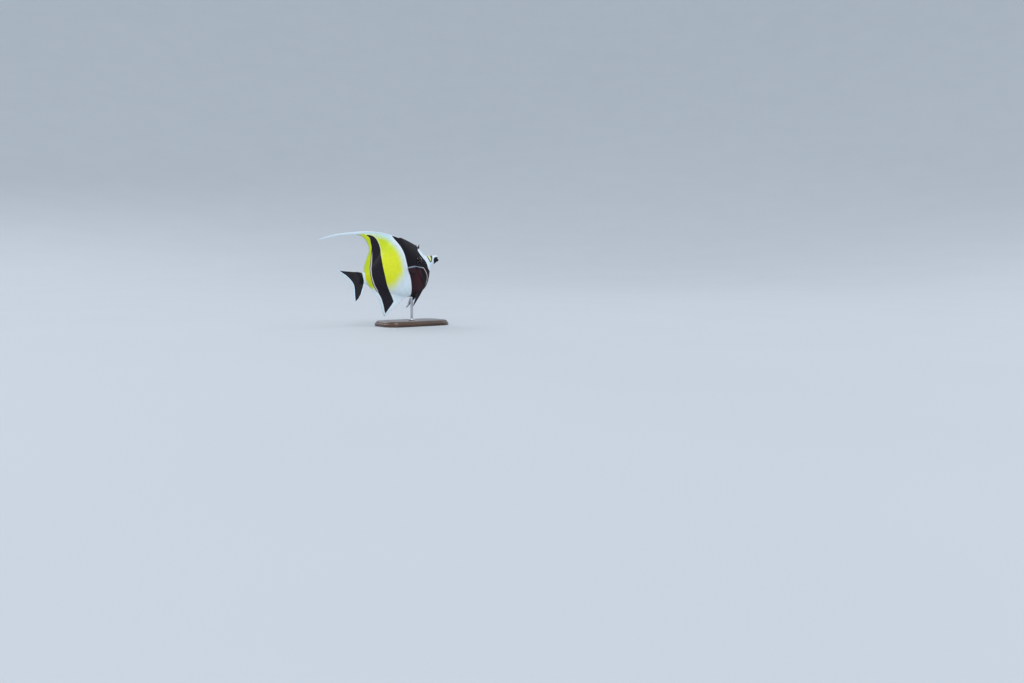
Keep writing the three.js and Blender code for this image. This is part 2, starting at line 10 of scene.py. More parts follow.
import bpy
import numpy as np
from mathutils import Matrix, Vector


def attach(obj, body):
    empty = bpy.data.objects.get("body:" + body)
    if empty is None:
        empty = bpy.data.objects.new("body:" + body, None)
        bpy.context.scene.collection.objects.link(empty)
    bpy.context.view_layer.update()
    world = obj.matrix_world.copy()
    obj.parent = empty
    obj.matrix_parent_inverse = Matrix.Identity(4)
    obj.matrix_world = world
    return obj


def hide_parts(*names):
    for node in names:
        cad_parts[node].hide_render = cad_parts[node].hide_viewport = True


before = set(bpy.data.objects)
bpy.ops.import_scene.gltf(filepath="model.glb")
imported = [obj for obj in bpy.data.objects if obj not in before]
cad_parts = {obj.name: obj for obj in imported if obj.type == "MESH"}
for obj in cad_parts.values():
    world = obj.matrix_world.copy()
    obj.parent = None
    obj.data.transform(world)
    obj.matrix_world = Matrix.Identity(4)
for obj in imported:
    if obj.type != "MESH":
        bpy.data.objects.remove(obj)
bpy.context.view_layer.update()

MM = 0.001
NOSE_UP = math.radians(13)
BODY_LENGTH = 150.0

# The body's outlines, its half width and the height of its widest line, along u.
BACK_POINTS = [
    (0, 5.6), (8, 7.9), (16, 9.4), (22, 10.5), (26, 12.8), (30, 18.6), (33.5, 25.2),
    (37.5, 31.4), (47, 39.4), (57, 46.6), (66, 51.6), (75, 52.2), (88, 48.0), (102, 40.2),
    (116, 30.0), (129, 19.4), (138, 12.6), (144, 10.4), (150, 9.8), (156, 9.9), (160, 9.6),
]
BELLY_POINTS = [
    (0, -2.6), (8, -6.2), (14, -8.2), (19.2, -12.0), (23, -19.0), (26.5, -28.0),
    (31, -36.2), (38, -43.2), (47, -47.6), (58, -50.1), (70, -50.7), (80, -49.4),
    (92, -44.6), (105, -37.2), (118, -28.4), (130, -19.4), (138, -13.2), (144, -10.6),
    (150, -9.7), (156, -9.7), (160, -9.4),
]
HALF_WIDTH_POINTS = [
    (0, 2.4), (5, 3.6), (12, 4.4), (20, 6.0), (28, 8.4), (38, 10.8), (48, 12.4),
    (60, 13.1), (76, 12.6), (92, 11.0), (108, 8.9), (122, 6.8), (134, 5.0), (144, 3.8),
    (150, 3.1), (154, 2.1), (158, 0.9), (160, 0.35),
]
WIDEST_POINTS = [
    (0, 1.6), (14, 0.6), (24, -4.0), (40, -5.0), (60, -3.0), (90, -1.0), (120, 0), (160, 0),
]
EDGE_POWER_POINTS = [(0, 0.5), (15, 0.52), (45, 0.66), (110, 0.66), (150, 0.56), (160, 0.56)]

# The snout's rounded end starts at its cap. Lips are ellipsoids: length, width, height.
SKIN_END = 160.0
SNOUT_CAP = 9.0
SNOUT_TIP = 1.2
FARTHEST_FROM_CAP = 14.0
UPPER_LIP = {"at": (2.6, 4.9), "size": (2.8, 3.0, 2.3)}
LOWER_LIP = {"at": (2.6, -1.8), "size": (3.6, 2.8, 2.4)}
LIP_BLEND = 1.3
MOUTH = {"height": 1.3, "half_gap": 0.34, "depth": 1.2, "fades": (2.6, 5.2)}

# The gill cover's rear edge, which bows forward above and below.
GILL_LINE = 51.0
GILL_HEIGHT = -2.0
GILL_SPAN = 41.0
GILL_LEAN_UP = 3.0
GILL_LEAN_DOWN = 14.0
GILL_BEND_STARTS = 24.0
GILL_BEND_FADES = (55.0, 100.0)
GILL_COVER_STEP = 0.8
GILL_COVER_WIDTH = 7.0
GILL_SLIT_DEPTH = 0.5
GILL_SLIT_WIDTH = 0.5
GILL_SLIT_BEHIND = 0.45
GILL_OPENING = (-38.0, 13.0)
GILL_OPENING_FADE = 14.0

# The eye, the nostrils, the horns and the low forms round them.
EYE = {
    "at": (43.2, 7.4), "radius": 6.0, "depth": 3.7, "sunk": 2.05, "rings": 40, "around": 72,
    "dish": 0.55, "dish_edge": (0.5, 0.9),
}
CORNEA = {"radius_share": 0.985, "depth_share": 1.04, "back_share": 0.2}
SOCKET = {
    "inner": 4.9, "outer": 5.5, "depth": 2.2, "rim": 6.1, "rim_width": 0.65, "rim_height": 0.3,
}
NOSTRILS = [((32.8, 14.6), 0.85), ((30.6, 13.4), 0.65)]
NOSTRIL_RIM = {"at": 1.15, "width": 0.3, "height": 0.22}
NOSTRIL_HOLE = {"bottom": 0.55, "depth": 0.9}
HORN = {
    "at": (37.2, 26.6), "length": 10.2, "sunk": 2.4, "radius": 1.9, "tip_radius": 0.04,
    "taper": (1.35, 0.8), "lean": 0.5, "rings": 40, "around": 32,
}
HORN_DIRECTION = (-0.46, 0.12, 1.0)
HORN_FOOT = {"below": 1.6, "size": (2.2, 3.2), "height": 1.15}
SHOULDER = {"at": (53.6, -4.4), "size": (1.9, 4.6), "height": 1.1, "behind_gill": 0.3}
CHEEK_EDGE = {
    "u": 43.5, "bow": 0.010, "middle": -10, "width": 0.55, "height": 0.22,
    "lower_fade": (-33, -26), "upper_fade": (0, 5),
}
MUSCLE = {
    "spacing": 5.6, "lean": 0.28, "middle": -2, "height": 0.035,
    "front_fade": (58, 70), "rear_fade": (132, 146),
}
RELIEF_ROOM = (0.4, 2.2)

# How closely the rows and the sections of the skin lie.
SKIN_ROWS = 120
SNOUT_RINGS = 46
HALVINGS = 40
FARTHEST_OUT = 80.0
FINE_STEPS = 800
EDGE_ROWS = 0.002
EYE_ROWS = {
    "above": 0.6, "spread": 9.5, "share": 6.0, "front_fade": (20, 31), "rear_fade": (50, 66),
}
HEAD_SPANS = [(SNOUT_CAP, 24, 0.45), (24, 47, 0.33), (47, 50.6, 0.4)]
GILL_STATIONS = [50.7, 50.9, 51.0, 51.12, 51.35, 51.6, 51.9, 52.4, 53.0, 53.8]
TRUNK_SPANS = [(54.3, 62, 0.5), (62, 137, 0.95), (137, SKIN_END, 0.62)]

# How deep the fins' roots sit, how thick the fins are, and the tail fin's stroke.
FIN_SINK = 3.0
WEB_HALF = 0.22
WEB_RISE = 3.0
ROOT_SHARE = 0.98
ROOT_REACH = (2.5, 7.0)
THINNEST_ROOT = 0.8
LEAST_FALL = 0.1
SKIN_UNDER_WEB = 0.05
FIN_FILLET = 0.7
FILL_FRONT = (1, 8)
FILL_REAR = (-6, -1)
WEB_ROWS = 30
WEB_THINNING = 0.35
RIM_NOTCH = (0.3, 0.75)
RIM_STEPS = 160
CURVE_STEPS = 2400
SHEATH_HALF = 1.15
PELVIC_SHEATH_HALF = 0.12
SHEATH_REACH = 5.5
TWIST = math.radians(26)
TWIST_REACH = 12.0
DROOP = 3.0
DROOP_REACH = 30.0
RAY = {
    "ends": (0.02, 0.985), "steps": 22, "fork": (0.42, 0.56), "fork_blend": 0.1,
    "halves": (-0.2, 0.2), "open_at": 1.15, "opening": 2.1, "half_share": 0.72,
    "tip_share": 0.45, "sides": 6,
}

# The fins. A rim runs from the tip of the first ray to the tip of the last one.
DORSAL = {
    "rays": 44, "spines": 6, "radius": 0.34,
    "front": 64, "rear": 142.5, "lift": (-8.7, 9.4),
    "rim": [
        (144.8, 75.1), (143.6, 72.6), (136.4, 68.6), (130.9, 61), (127.8, 52),
        (128.5, 43.6), (132.5, 35.9), (138, 28.7), (142.7, 21.3), (145.9, 12.8),
    ],
}
MEDIAN_WAVE = {"height": 0.35, "turns": 21, "along": (0.1, 0.3)}
ANAL = {
    "rays": 35, "spines": 3, "radius": 0.34,
    "front": 74, "rear": 142.5, "lift": (0.2, -0.6),
    "rim": [
        (126.6, -70.9), (128.4, -66.4), (128.8, -61), (128.7, -54.7), (128.9, -47.5),
        (130.6, -39), (134.5, -29.4), (139.7, -19.7), (144.8, -11.9),
    ],
}
TAIL_WAVE = {"height": 0.3, "turns": 17, "start": 1}
TAIL_FIN = {
    "rays": 19, "spines": 0, "radius": 0.4,
    "root_height": 7.4, "lift_top": (-0.6, 2.4), "lift_bottom": (-1.5, -6),
    "rim": [
        (35.2, 28.2), (27.4, 15.8), (22.8, 6.6), (21.3, -2.2), (23.2, -11), (27.6, -22),
        (31.2, -31.5),
    ],
}
PECTORAL = {
    "rays": 18, "spines": 1, "radius": 0.26, "root": [(52.4, -1.2), (53.8, -8.4)],
    "rim": [
        (70.8, 1.2), (71.4, -2.4), (69.2, -7.4), (65.4, -11.0), (60.8, -12.6), (57, -11.8),
    ],
    "sunk": 2.4, "standoff": 1.0, "lean": 0.1, "root_length": 4.0,
}
PELVIC = {
    "rays": 6, "spines": 1, "radius": 0.4, "front": 41, "rear": 57, "lift": (-0.6, -1.4),
    "root_offset": 2.2, "splay": 6.6,
    "rim": [(76.6, -69.4), (77.2, -67.2), (73, -63.4), (70, -59), (67, -54.8)],
}

STREAMER_TOP_POINTS = [(145, 77.4), (163, 79.5), (181, 80.6), (199, 79.9), (211.2, 78.7)]
STREAMER_DEPTH_POINTS = [(145, 4.6), (163, 3.6), (181, 2.9), (199, 2.0), (211.2, 0.9)]
STREAMER_START = 145.0
STREAMER_END = 211.2
STREAMER_FLATNESS = 0.5
STREAMER = {
    "along_fin": (0.02, 0.97), "rising_steps": 60, "trailing_steps": 110, "sides": 20,
    "root_half": 0.8, "thinnest": 0.75, "step_over": 1.5, "taper": 2.5, "tip_share": 0.05,
    "middle_share": 0.72,
}

# The stand. The base's edge is given as inset and height, from its underside up.
BASE = {
    "length": 124.0, "width": 74.0, "height": 9.0, "corner": 24.0, "least_corner": 2.0,
    "corner_steps": 26,
}
BASE_EDGE = [
    (1.2, 0.0), (0.35, 0.3), (0.0, 0.9), (0.0, 4.3), (0.25, 4.9), (0.8, 5.2), (1.9, 5.35),
    (2.2, 5.7), (2.3, 6.5), (2.75, 7.4), (3.6, 8.2), (4.8, 8.75), (6.2, 8.97), (7.6, 9.0),
    (22.0, 9.0),
]
ROD = {
    "u": 67.0, "radius": 2.3, "into_belly": 1.4, "collar": 6.0, "collar_height": 3.0,
    "collar_lip": 1.5, "rounding": 0.9, "rounding_steps": 8, "tip_radius": 0.7,
    "tip_length": 5.5, "tip_rise": 3.3, "around": 64,
}
CLEARANCE_OVER_BASE = 8.0
LOWEST_FIN_TIP = (126.6, -70.9)

# The markings, read on the flank that the photograph shows. Edges are given as z and u,
# the yellow's lower edge and all outlines as u and z, and fades as the span they take.
FACE_EDGE = [
    (-19, 20.0), (-17, 22.3), (-14.8, 25.5), (-8.9, 27.9), (-2.5, 28.7), (3.1, 30.4),
    (9.3, 34.2), (17.2, 38.2), (23.5, 40.2), (28.5, 37.5), (32, 34.0),
]
FRONT_BAND_REAR = [
    (-56, 84), (-51.7, 78.7), (-50.6, 72.3), (-44.2, 69.2), (-30.2, 68.3), (-16.1, 68.7),
    (-3.6, 70.1), (8.5, 70.1), (20.6, 69.8), (33.0, 71.3), (47.9, 76.4), (58.3, 80.6),
    (66, 84),
]
SECOND_BAND_FRONT = [
    (-72, 126), (-66, 120.7), (-62.7, 116.5), (-58.5, 110.9), (-54.2, 105.7),
    (-50.5, 102.3), (-45.2, 103.0), (-36.7, 105.1), (-25.6, 109.2), (-14.9, 111.3),
    (2.5, 112), (11.2, 111.7), (23.5, 110), (29, 109.0), (34.9, 107.8), (42.7, 107.1),
    (47.2, 107.3), (55.5, 109.1), (62.4, 113.1), (66.5, 119), (68.2, 124), (70, 131),
]
SECOND_BAND_REAR = [
    (-72, 123.5), (-67, 124.8), (-63.6, 125.4), (-55.5, 125.5), (-49.6, 125.4),
    (-43.6, 125.7), (-37.6, 127.1), (-30.7, 129.3), (-23.7, 131.8), (-12.5, 135.7),
    (-0.1, 137.6), (11.4, 135.6), (22.2, 130.8), (34.8, 126.5), (49.1, 122.1),
    (60.8, 121.7), (68.6, 127.3), (71, 131),
]
SECOND_BAND_TOP = 68.8
YELLOW_FRONT = [
    (-20, 77.5), (-4, 78.0), (5, 78.0), (15, 77.5), (22, 77.9), (30, 79.0), (35, 80.4),
    (40, 82.2), (45, 84.6), (50, 86.8), (55, 91.0), (60, 98.5), (65, 102.5),
]
YELLOW_FRONT_FADE = (-6.5, 7.5)
YELLOW_TOP = (74.0, 54.0)
YELLOW_LOWER = [
    (70, -3), (79, -7), (85, -12.5), (91, -16.5), (97, -24.0), (103, -26.0), (111, -26.5),
]
YELLOW_LOWER_FADE = 13.5
REAR_YELLOW_FROM = (-27, -15)
TAIL_BASE_ORANGE = {"at": (145.5, 0.5), "size": (5.5, 7.0)}
REDDISH_FRONT = (42, 49)
REDDISH_TOP = (-2, -12)
REDDISH_LOWER = (-60, -35)
REDDISH_REAR = (54, 63)
REDDISH_REAR_SHARE = 0.55
FAR_FROM_RIM = 99.0
CHEEK_LINE = [
    (90, 0.7), (69, 0.7), (60, 0.4), (55.8, -0.3), (49.4, -3.0), (42.1, -5.7), (38.4, -7.2),
    (36.9, -9.4), (36.0, -11.9), (34.6, -15.1), (33.2, -19.0), (32.7, -23.5), (33.2, -28.0),
    (35.4, -34.3), (38.8, -38.3), (44, -43), (90, -60),
]
SADDLE_CORNERS = [
    (20.6, 12.5), (11.8, 10.5), (13.1, 7.2), (17.8, -0.4), (19.0, -0.4), (20.9, 5.4),
]
SADDLE_ROUNDING = 1.5
SADDLE_RIM_WIDTH = 2.0
TAIL_PALE_FRONT = [
    (-9.5, 143.8), (-6.8, 146.0), (-2.2, 147.2), (3.8, 147.0), (8.3, 146.0), (14, 145.4),
]
TAIL_BLACK_FRONT = [
    (-27, 171), (-22.5, 165.0), (-17.2, 160.3), (-11.5, 154.3), (-6.6, 151.5),
    (-1.6, 150.8), (2.7, 150.7), (9, 150.0), (16, 150),
]
JAW_ROUNDING = 1.4
JAW_CORNERS = [
    (-4, 2.2), (2.8, 2.6), (5.8, 3.5), (8.0, 2.9), (9.3, 1.6), (10.2, -0.9), (10.0, -9), (-4, -9),
]
# The lower edge of the belly and of the anal fin's front, where a white strip is painted: partly a
# pale margin, partly a painted highlight.
LOWER_EDGE = [(62, -50.4), (70, -50.7), (77, -50.2), (81.5, -50.4), (126.6, -70.9)]

CAMERA_PLACE = (-0.71302, -1.18992, 0.09529)
CAMERA_HEADING = math.radians(51.89)
CAMERA_PITCH = math.radians(-5.13)
CAMERA_LENS = 28.0

# For the rim's notches and for where each ray forks.
RAY_SEED = 11


# Lines and measures


def smooth_line(points):
    """A smooth line through the points that never overshoots them."""
    at, value = (np.array(column, float) for column in zip(*points))
    span = np.diff(at)
    rise = np.diff(value) / span
    slope = np.zeros(len(at))
    slope[0] = rise[0]
    slope[-1] = rise[-1]
    before, after = rise[:-1], rise[1:]
    same_way = before * after > 0
    total = np.where(same_way, before + after, 1.0)
    slope[1:-1] = np.where(same_way, 2 * before * after / total, 0.0)

    def line(x):
        x = np.clip(np.asarray(x, float), at[0], at[-1])
        i = np.clip(np.searchsorted(at, x) - 1, 0, len(span) - 1)
        t = (x - at[i]) / span[i]
        blend = t * t * (3 - 2 * t)
        start_pull = slope[i] * span[i] * t * (1 - t) ** 2
        end_pull = slope[i + 1] * span[i] * t * t * (1 - t)
        return value[i] * (1 - blend) + value[i + 1] * blend + start_pull - end_pull

    return line


BACK = smooth_line(BACK_POINTS)
BELLY = smooth_line(BELLY_POINTS)
HALF_WIDTH = smooth_line(HALF_WIDTH_POINTS)
WIDEST = smooth_line(WIDEST_POINTS)
EDGE_POWER = smooth_line(EDGE_POWER_POINTS)
STREAMER_TOP = smooth_line(STREAMER_TOP_POINTS)
STREAMER_DEPTH = smooth_line(STREAMER_DEPTH_POINTS)


def smoothstep(x, low, high):
    """A soft rise from 0 at low to 1 at high."""
    t = np.clip((np.asarray(x, float) - low) / (high - low), 0, 1)
    return t * t * (3 - 2 * t)


def mix(a, b, t):
    return a + (b - a) * t


def smooth_max(a, b, reach):
    """The larger of two values, with the crease between them rounded."""
    h = np.clip(0.5 + 0.5 * (a - b) / reach, 0, 1)
    return mix(b, a, h) + reach * h * (1 - h)


def ridge(distance, width):
    """A soft ridge of height 1, by the distance from its line."""
    return np.exp(-((distance / width) ** 2))


def mound(u, z, at, size):
    """A soft round rise of height 1 about a place."""
    return ridge(u - at[0], size[0]) * ridge(z - at[1], size[1])


def behind(edge_points, u, z):
    """How far a place lies behind a marking's edge, in millimetres."""
    edge = smooth_line(edge_points)
    slope = edge(z + 0.5) - edge(z - 0.5)
    return (u - edge(z)) / np.sqrt(1 + slope * slope)


def off_path(path, u, z):
    """The distance to an open path."""
    nearest = np.full(np.shape(u), 1e9)
    for (u0, z0), (u1, z1) in zip(path[:-1], path[1:]):
        du, dz = u1 - u0, z1 - z0
        t = np.clip(((u - u0) * du + (z - z0) * dz) / (du * du + dz * dz), 0, 1)
        nearest = np.minimum(nearest, np.hypot(u - u0 - t * du, z - z0 - t * dz))
    return nearest


def inside_patch(corners, u, z):
    """The distance inside a closed outline, negative outside."""
    inside = np.zeros(np.shape(u), bool)
    for (u0, z0), (u1, z1) in zip(corners, corners[1:] + corners[:1]):
        crosses = (z0 > z) != (z1 > z)
        reach = (u1 - u0) * (z - z0) / (z1 - z0 if z1 != z0 else 1e-9) + u0
        inside ^= crosses & (u < reach)
    gap = off_path(corners + corners[:1], u, z)
    return np.where(inside, gap, -gap)


def flank(u, z):
    """The body's half width at a place on its side."""
    widest = WIDEST(u)
    up = (z - widest) / (BACK(u) - widest)
    down = (widest - z) / (widest - BELLY(u))
    reach = np.clip(np.where(z > widest, up, down), 0, 1)
    return HALF_WIDTH(u) * (1 - reach * reach) ** EDGE_POWER(u)


def fin_sheath(edge, out):
    """How the body thins into its back or belly fin: the half thickness at the fin's root,
    and how far out a place lies from where the fin starts."""

    def half(u, z):
        slope = edge(u + 0.5) - edge(u - 0.5)
        steep = np.sqrt(1 + slope * slope)
        inside = edge(u) - out * FIN_SINK
        outside = out * (z - inside) / steep
        thick = np.maximum(flank(u, inside), THINNEST_ROOT)
        fall = flank(u, inside - out * 0.5) - flank(u, inside + out * 0.5)
        reach = np.clip(thick / (np.maximum(fall, LEAST_FALL) * steep), *ROOT_REACH)
        outside = np.maximum(outside, 0)
        return ROOT_SHARE * thick * np.exp(-outside / reach), outside

    return half


def skin_web(outside):
    """Half the thickness of the fin's own skin, which grows from nothing at its root."""
    return WEB_HALF * (1 - np.exp(-outside / WEB_RISE))


BACK_SHEATH = fin_sheath(BACK, 1)
BELLY_SHEATH = fin_sheath(BELLY, -1)


def filled_to_fins(half, u, z):
    """The flank thickened along the back and belly to the sheaths of their fins."""
    for sheath, fin in ((BACK_SHEATH, DORSAL), (BELLY_SHEATH, ANAL)):
        root, outside = sheath(u, z)
        along = smoothstep(u - fin["front"], *FILL_FRONT)
        along = along * (1 - smoothstep(u - fin["rear"], *FILL_REAR))
        this_side = z > WIDEST(u) if fin is DORSAL else z < WIDEST(u)
        filled = smooth_max(half, root + skin_web(outside) - SKIN_UNDER_WEB, FIN_FILLET)
        half = np.where(this_side, mix(half, filled, along), half)
    return half


def gill_bent(station, z):
    """A section across the body bends with the gill opening where it is near it."""
    starts = smoothstep(station, GILL_BEND_STARTS, GILL_LINE)
    near = starts * (1 - smoothstep(station, *GILL_BEND_FADES))
    away = (z - GILL_HEIGHT) / GILL_SPAN
    lean = np.where(away > 0, GILL_LEAN_UP, GILL_LEAN_DOWN)
    return station - near * lean * away * away


# From the fish's own layout to the part's frame

rod_foot_x = -ROD["u"] * math.cos(NOSE_UP) - float(BELLY(ROD["u"])) * math.sin(NOSE_UP)
tip_height = -LOWEST_FIN_TIP[0] * math.sin(NOSE_UP) + LOWEST_FIN_TIP[1] * math.cos(NOSE_UP)
FISH_X = -rod_foot_x
FISH_Z = BASE["height"] + CLEARANCE_OVER_BASE - tip_height


def to_part(u, y, z):
    """Points of the fish in the part's frame, in metres."""
    x = -u * math.cos(NOSE_UP) - z * math.sin(NOSE_UP) + FISH_X
    height = -u * math.sin(NOSE_UP) + z * math.cos(NOSE_UP) + FISH_Z
    return np.stack(np.broadcast_arrays(x, y, height), axis=-1) * MM


def tail_stroke(u, y, z):
    """The tail fin's twist and droop, for what lies behind the tail base."""
    distance = u - BODY_LENGTH
    angle = TWIST * smoothstep(distance, -1, TWIST_REACH)
    droop = DROOP * smoothstep(distance, 0, DROOP_REACH)
    turned_y = y * np.cos(angle) + z * np.sin(angle)
    turned_z = z * np.cos(angle) - y * np.sin(angle) - droop
    return u, turned_y, turned_z


# Meshes


def make_piece(name, points, faces, materials, marks=None):
    """A mesh object at the origin, with its place in its mesh."""
    mesh = bpy.data.meshes.new(name)
    mesh.from_pydata(points.reshape(-1, 3).tolist(), [], faces)
    for mark, values in (marks or {}).items():
        attribute = mesh.attributes.new(mark, "FLOAT", "POINT")
        attribute.data.foreach_set("value", np.ravel(values).astype(np.float32))
    for material in materials:
        mesh.materials.append(material)
    mesh.polygons.foreach_set("use_smooth", [True] * len(mesh.polygons))
    mesh.update()
    piece = bpy.data.objects.new(name, mesh)
    bpy.context.scene.collection.objects.link(piece)
    return piece


def signed_volume(points, faces):
    total = 0.0
    for face in faces:
        a = points[face[0]]
        for b, c in zip(face[1:-1], face[2:]):
            total += float(np.dot(a, np.cross(points[b], points[c])))
    return total


def outward(points, faces):
    """Faces in the order that points them outwards."""
    flat = points.reshape(-1, 3)
    flat = flat - flat.mean(axis=0)
    if signed_volume(flat, faces) >= 0:
        return faces
    return [tuple(reversed(face)) for face in faces]


def ring_faces(rings, around, offset=0):
    """Quads between rings that close on themselves."""
    faces = []
    for i in range(rings - 1):
        for k in range(around):
            a = offset + i * around + k
            b = offset + i * around + (k + 1) % around
            faces.append((a, b, b + around, a + around))
    return faces


def closed_faces(rings, around, first_pole, last_pole, offset=0):
    """The faces of a surface of rings, with a fan to a pole at each end."""
    faces = ring_faces(rings, around, offset)
    last = offset + (rings - 1) * around
    for k in range(around):
        following = (k + 1) % around
        faces.append((first_pole, offset + following, offset + k))
        faces.append((last_pole, last + k, last + following))
    return faces


def ring_solid(name, rings, poles, materials, marks=None, place=None):
    """A closed piece from rings of the same count, then its first and its last pole."""
    around = len(rings[0])
    places = np.concatenate([*rings, np.array(poles, float)])
    faces = closed_faces(len(rings), around, len(places) - 2, len(places) - 1)
    points = places * MM if place is None else place(*places.T)
    if callable(marks):
        marks = marks(places)
    return make_piece(name, points, outward(points, faces), materials, marks)


# The skin


def skin_marks(u, z):
    """Everything that the paint of the body and its fins needs to know about a place."""
    front_band = np.minimum(behind(FACE_EDGE, u, z), -behind(FRONT_BAND_REAR, u, z))
    rear_gap = behind(SECOND_BAND_REAR, u, z)
    second_band = np.minimum(behind(SECOND_BAND_FRONT, u, z), -rear_gap)
    second_band = np.minimum(second_band, SECOND_BAND_TOP - z)
    lower = smooth_line(YELLOW_LOWER)
    yellow = smoothstep(behind(YELLOW_FRONT, u, z), *YELLOW_FRONT_FADE)
    yellow *= smoothstep(z - lower(u), -YELLOW_LOWER_FADE, YELLOW_LOWER_FADE)
    yellow *= smoothstep(z, *YELLOW_TOP)
    reddish = smoothstep(u, *REDDISH_FRONT) * smoothstep(z, *REDDISH_TOP)
    reddish = reddish * smoothstep(z, *REDDISH_LOWER)
    reddish = reddish * mix(1, REDDISH_REAR_SHARE, smoothstep(u, *REDDISH_REAR))
    return {
        "front_band": front_band,
        "second_band": second_band,
        "rear_gap": rear_gap,
        "yellow": yellow,
        "rear_yellow": smoothstep(z, *REAR_YELLOW_FROM),
        "orange": mound(u, z, **TAIL_BASE_ORANGE),
        "reddish": reddish,
        "band_front": behind(SECOND_BAND_FRONT, u, z),
        "lower_edge": off_path(LOWER_EDGE, u, z),
        "cheek": inside_patch(CHEEK_LINE, u, z),
        "saddle": inside_patch(SADDLE_CORNERS, u, z) + SADDLE_ROUNDING,
        "jaw": inside_patch(JAW_CORNERS, u, z) + JAW_ROUNDING,
        "tail_pale": behind(TAIL_PALE_FRONT, u, z),
        "tail_black": behind(TAIL_BLACK_FRONT, u, z),
        "height": z,
        "along": u,
        "rim_distance": np.full(np.shape(u), FAR_FROM_RIM),
    }


def skin_relief(station, u, z):
    """Raised and sunken forms of the skin on top of the body's plain flank."""
    eye_u, eye_z = EYE["at"]
    cover = smoothstep(station, GILL_LINE - GILL_COVER_WIDTH, GILL_LINE)
    cover = cover * (station <= GILL_LINE + 0.01)
    slit = ridge(station - GILL_LINE - GILL_SLIT_BEHIND, GILL_SLIT_WIDTH)
    slit = slit * (station > GILL_LINE)
    bottom, top = GILL_OPENING
    height = 1 - smoothstep(z, top - GILL_OPENING_FADE, top)
    height = height * smoothstep(z, bottom, bottom + GILL_OPENING_FADE)
    relief = (GILL_COVER_STEP * cover - GILL_SLIT_DEPTH * slit) * height

    from_eye = np.hypot(u - eye_u, z - eye_z)
    socket = 1 - smoothstep(from_eye, SOCKET["inner"], SOCKET["outer"])
    rim = ridge(from_eye - SOCKET["rim"], SOCKET["rim_width"])
    relief = relief + SOCKET["rim_height"] * rim - SOCKET["depth"] * socket

    horn_u, horn_z = HORN["at"]
    foot = mound(u, z, (horn_u, horn_z - HORN_FOOT["below"]), HORN_FOOT["size"])
    relief = relief + HORN_FOOT["height"] * foot
    shoulder = mound(u, z, SHOULDER["at"], SHOULDER["size"])
    shoulder = shoulder * (station > GILL_LINE + SHOULDER["behind_gill"])
    relief = relief + SHOULDER["height"] * shoulder

    for (nostril_u, nostril_z), radius in NOSTRILS:
        away = np.hypot(u - nostril_u, z - nostril_z) / radius
        rim = ridge(away - NOSTRIL_RIM["at"], NOSTRIL_RIM["width"])
        hole = 1 - smoothstep(away, NOSTRIL_HOLE["bottom"], 1.0)
        relief = relief + NOSTRIL_RIM["height"] * rim - NOSTRIL_HOLE["depth"] * hole

    cheek_line = CHEEK_EDGE["u"] - CHEEK_EDGE["bow"] * (z - CHEEK_EDGE["middle"]) ** 2
    cheek = ridge(u - cheek_line, CHEEK_EDGE["width"])
    cheek = cheek * smoothstep(z, *CHEEK_EDGE["lower_fade"])
    cheek = cheek * (1 - smoothstep(z, *CHEEK_EDGE["upper_fade"]))
    relief = relief + CHEEK_EDGE["height"] * cheek

    fold = u - MUSCLE["lean"] * np.abs(z - MUSCLE["middle"])
    muscle = np.sin(fold * 2 * math.pi / MUSCLE["spacing"])
    muscle = muscle * smoothstep(u, *MUSCLE["front_fade"])
    muscle = muscle * (1 - smoothstep(u, *MUSCLE["rear_fade"]))
    return relief + MUSCLE["height"] * muscle


def exit_from_body(start_u, start_z, forward, side, up):
    """How far a ray from inside the snout runs before it leaves the plain body."""
    low = np.zeros(np.shape(forward))
    high = np.full(np.shape(forward), FARTHEST_FROM_CAP)
    for _ in range(HALVINGS):
        middle = (low + high) / 2
        u = start_u - middle * forward
        z = start_z + middle * up
        inside = (u > SNOUT_TIP) & (middle * np.abs(side) < flank(u, z))
        inside &= (z < BACK(u)) & (z > BELLY(u))
        low = np.where(inside, middle, low)
        high = np.where(inside, high, middle)
    return low


def exit_from_lip(lip, start_u, start_z, forward, side, up):
    """How far the same ray runs before it leaves a lip, an ellipsoid at the snout's end."""
    (lip_u, lip_z), (long, wide, high) = lip["at"], lip["size"]
    a = (forward / long) ** 2 + (side / wide) ** 2 + (up / high) ** 2
    dx, dz = (start_u - lip_u) / long, (start_z - lip_z) / high
    b = -2 * (dx * forward / long - dz * up / high)
    c = dx * dx + dz * dz - 1
    inside = b * b - 4 * a * c
    return np.where(inside > 0, (-b + np.sqrt(np.maximum(inside, 0))) / (2 * a), 0)


def skin_stations():
    """Sections along the body, close together where the head has its finest forms."""
    head = [np.arange(*span) for span in HEAD_SPANS]
    trunk = [np.arange(*span) for span in TRUNK_SPANS]
    return np.concatenate([*head, GILL_STATIONS, *trunk, [SKIN_END]])


def row_heights(station, bottom, top, rows):
    """Heights down one side, closer together at both edges and across the eye."""
    share = np.linspace(0, 1, FINE_STEPS + 1)
    at_edges = 1 / np.sqrt(share * (1 - share) + EDGE_ROWS)
    eye_share = (EYE["at"][1] + EYE_ROWS["above"] - bottom) / (top - bottom)
    spread = EYE_ROWS["spread"] / (top - bottom)
    near = smoothstep(station, *EYE_ROWS["front_fade"])
    near = near * (1 - smoothstep(station, *EYE_ROWS["rear_fade"]))
    at_eye = np.exp(-(((share - eye_share) / spread) ** 4))
    density = at_edges + EYE_ROWS["share"] * near * at_eye
    total = np.concatenate([[0], np.cumsum((density[1:] + density[:-1]) / 2)])
    return bottom + (top - bottom) * np.interp(
        np.linspace(1, 0, rows + 1), total / total[-1], share
    )


def outline_height(station, edge, widest):
    """Where a bent section meets the back or the belly."""
    within, beyond = widest, FARTHEST_OUT if edge is BACK else -FARTHEST_OUT
    for _ in range(HALVINGS):
        middle = (within + beyond) / 2
        line = float(edge(gill_bent(station, middle)))
        inside = middle < line if edge is BACK else middle > line
        within, beyond = (middle, beyond) if inside else (within, middle)
    return within


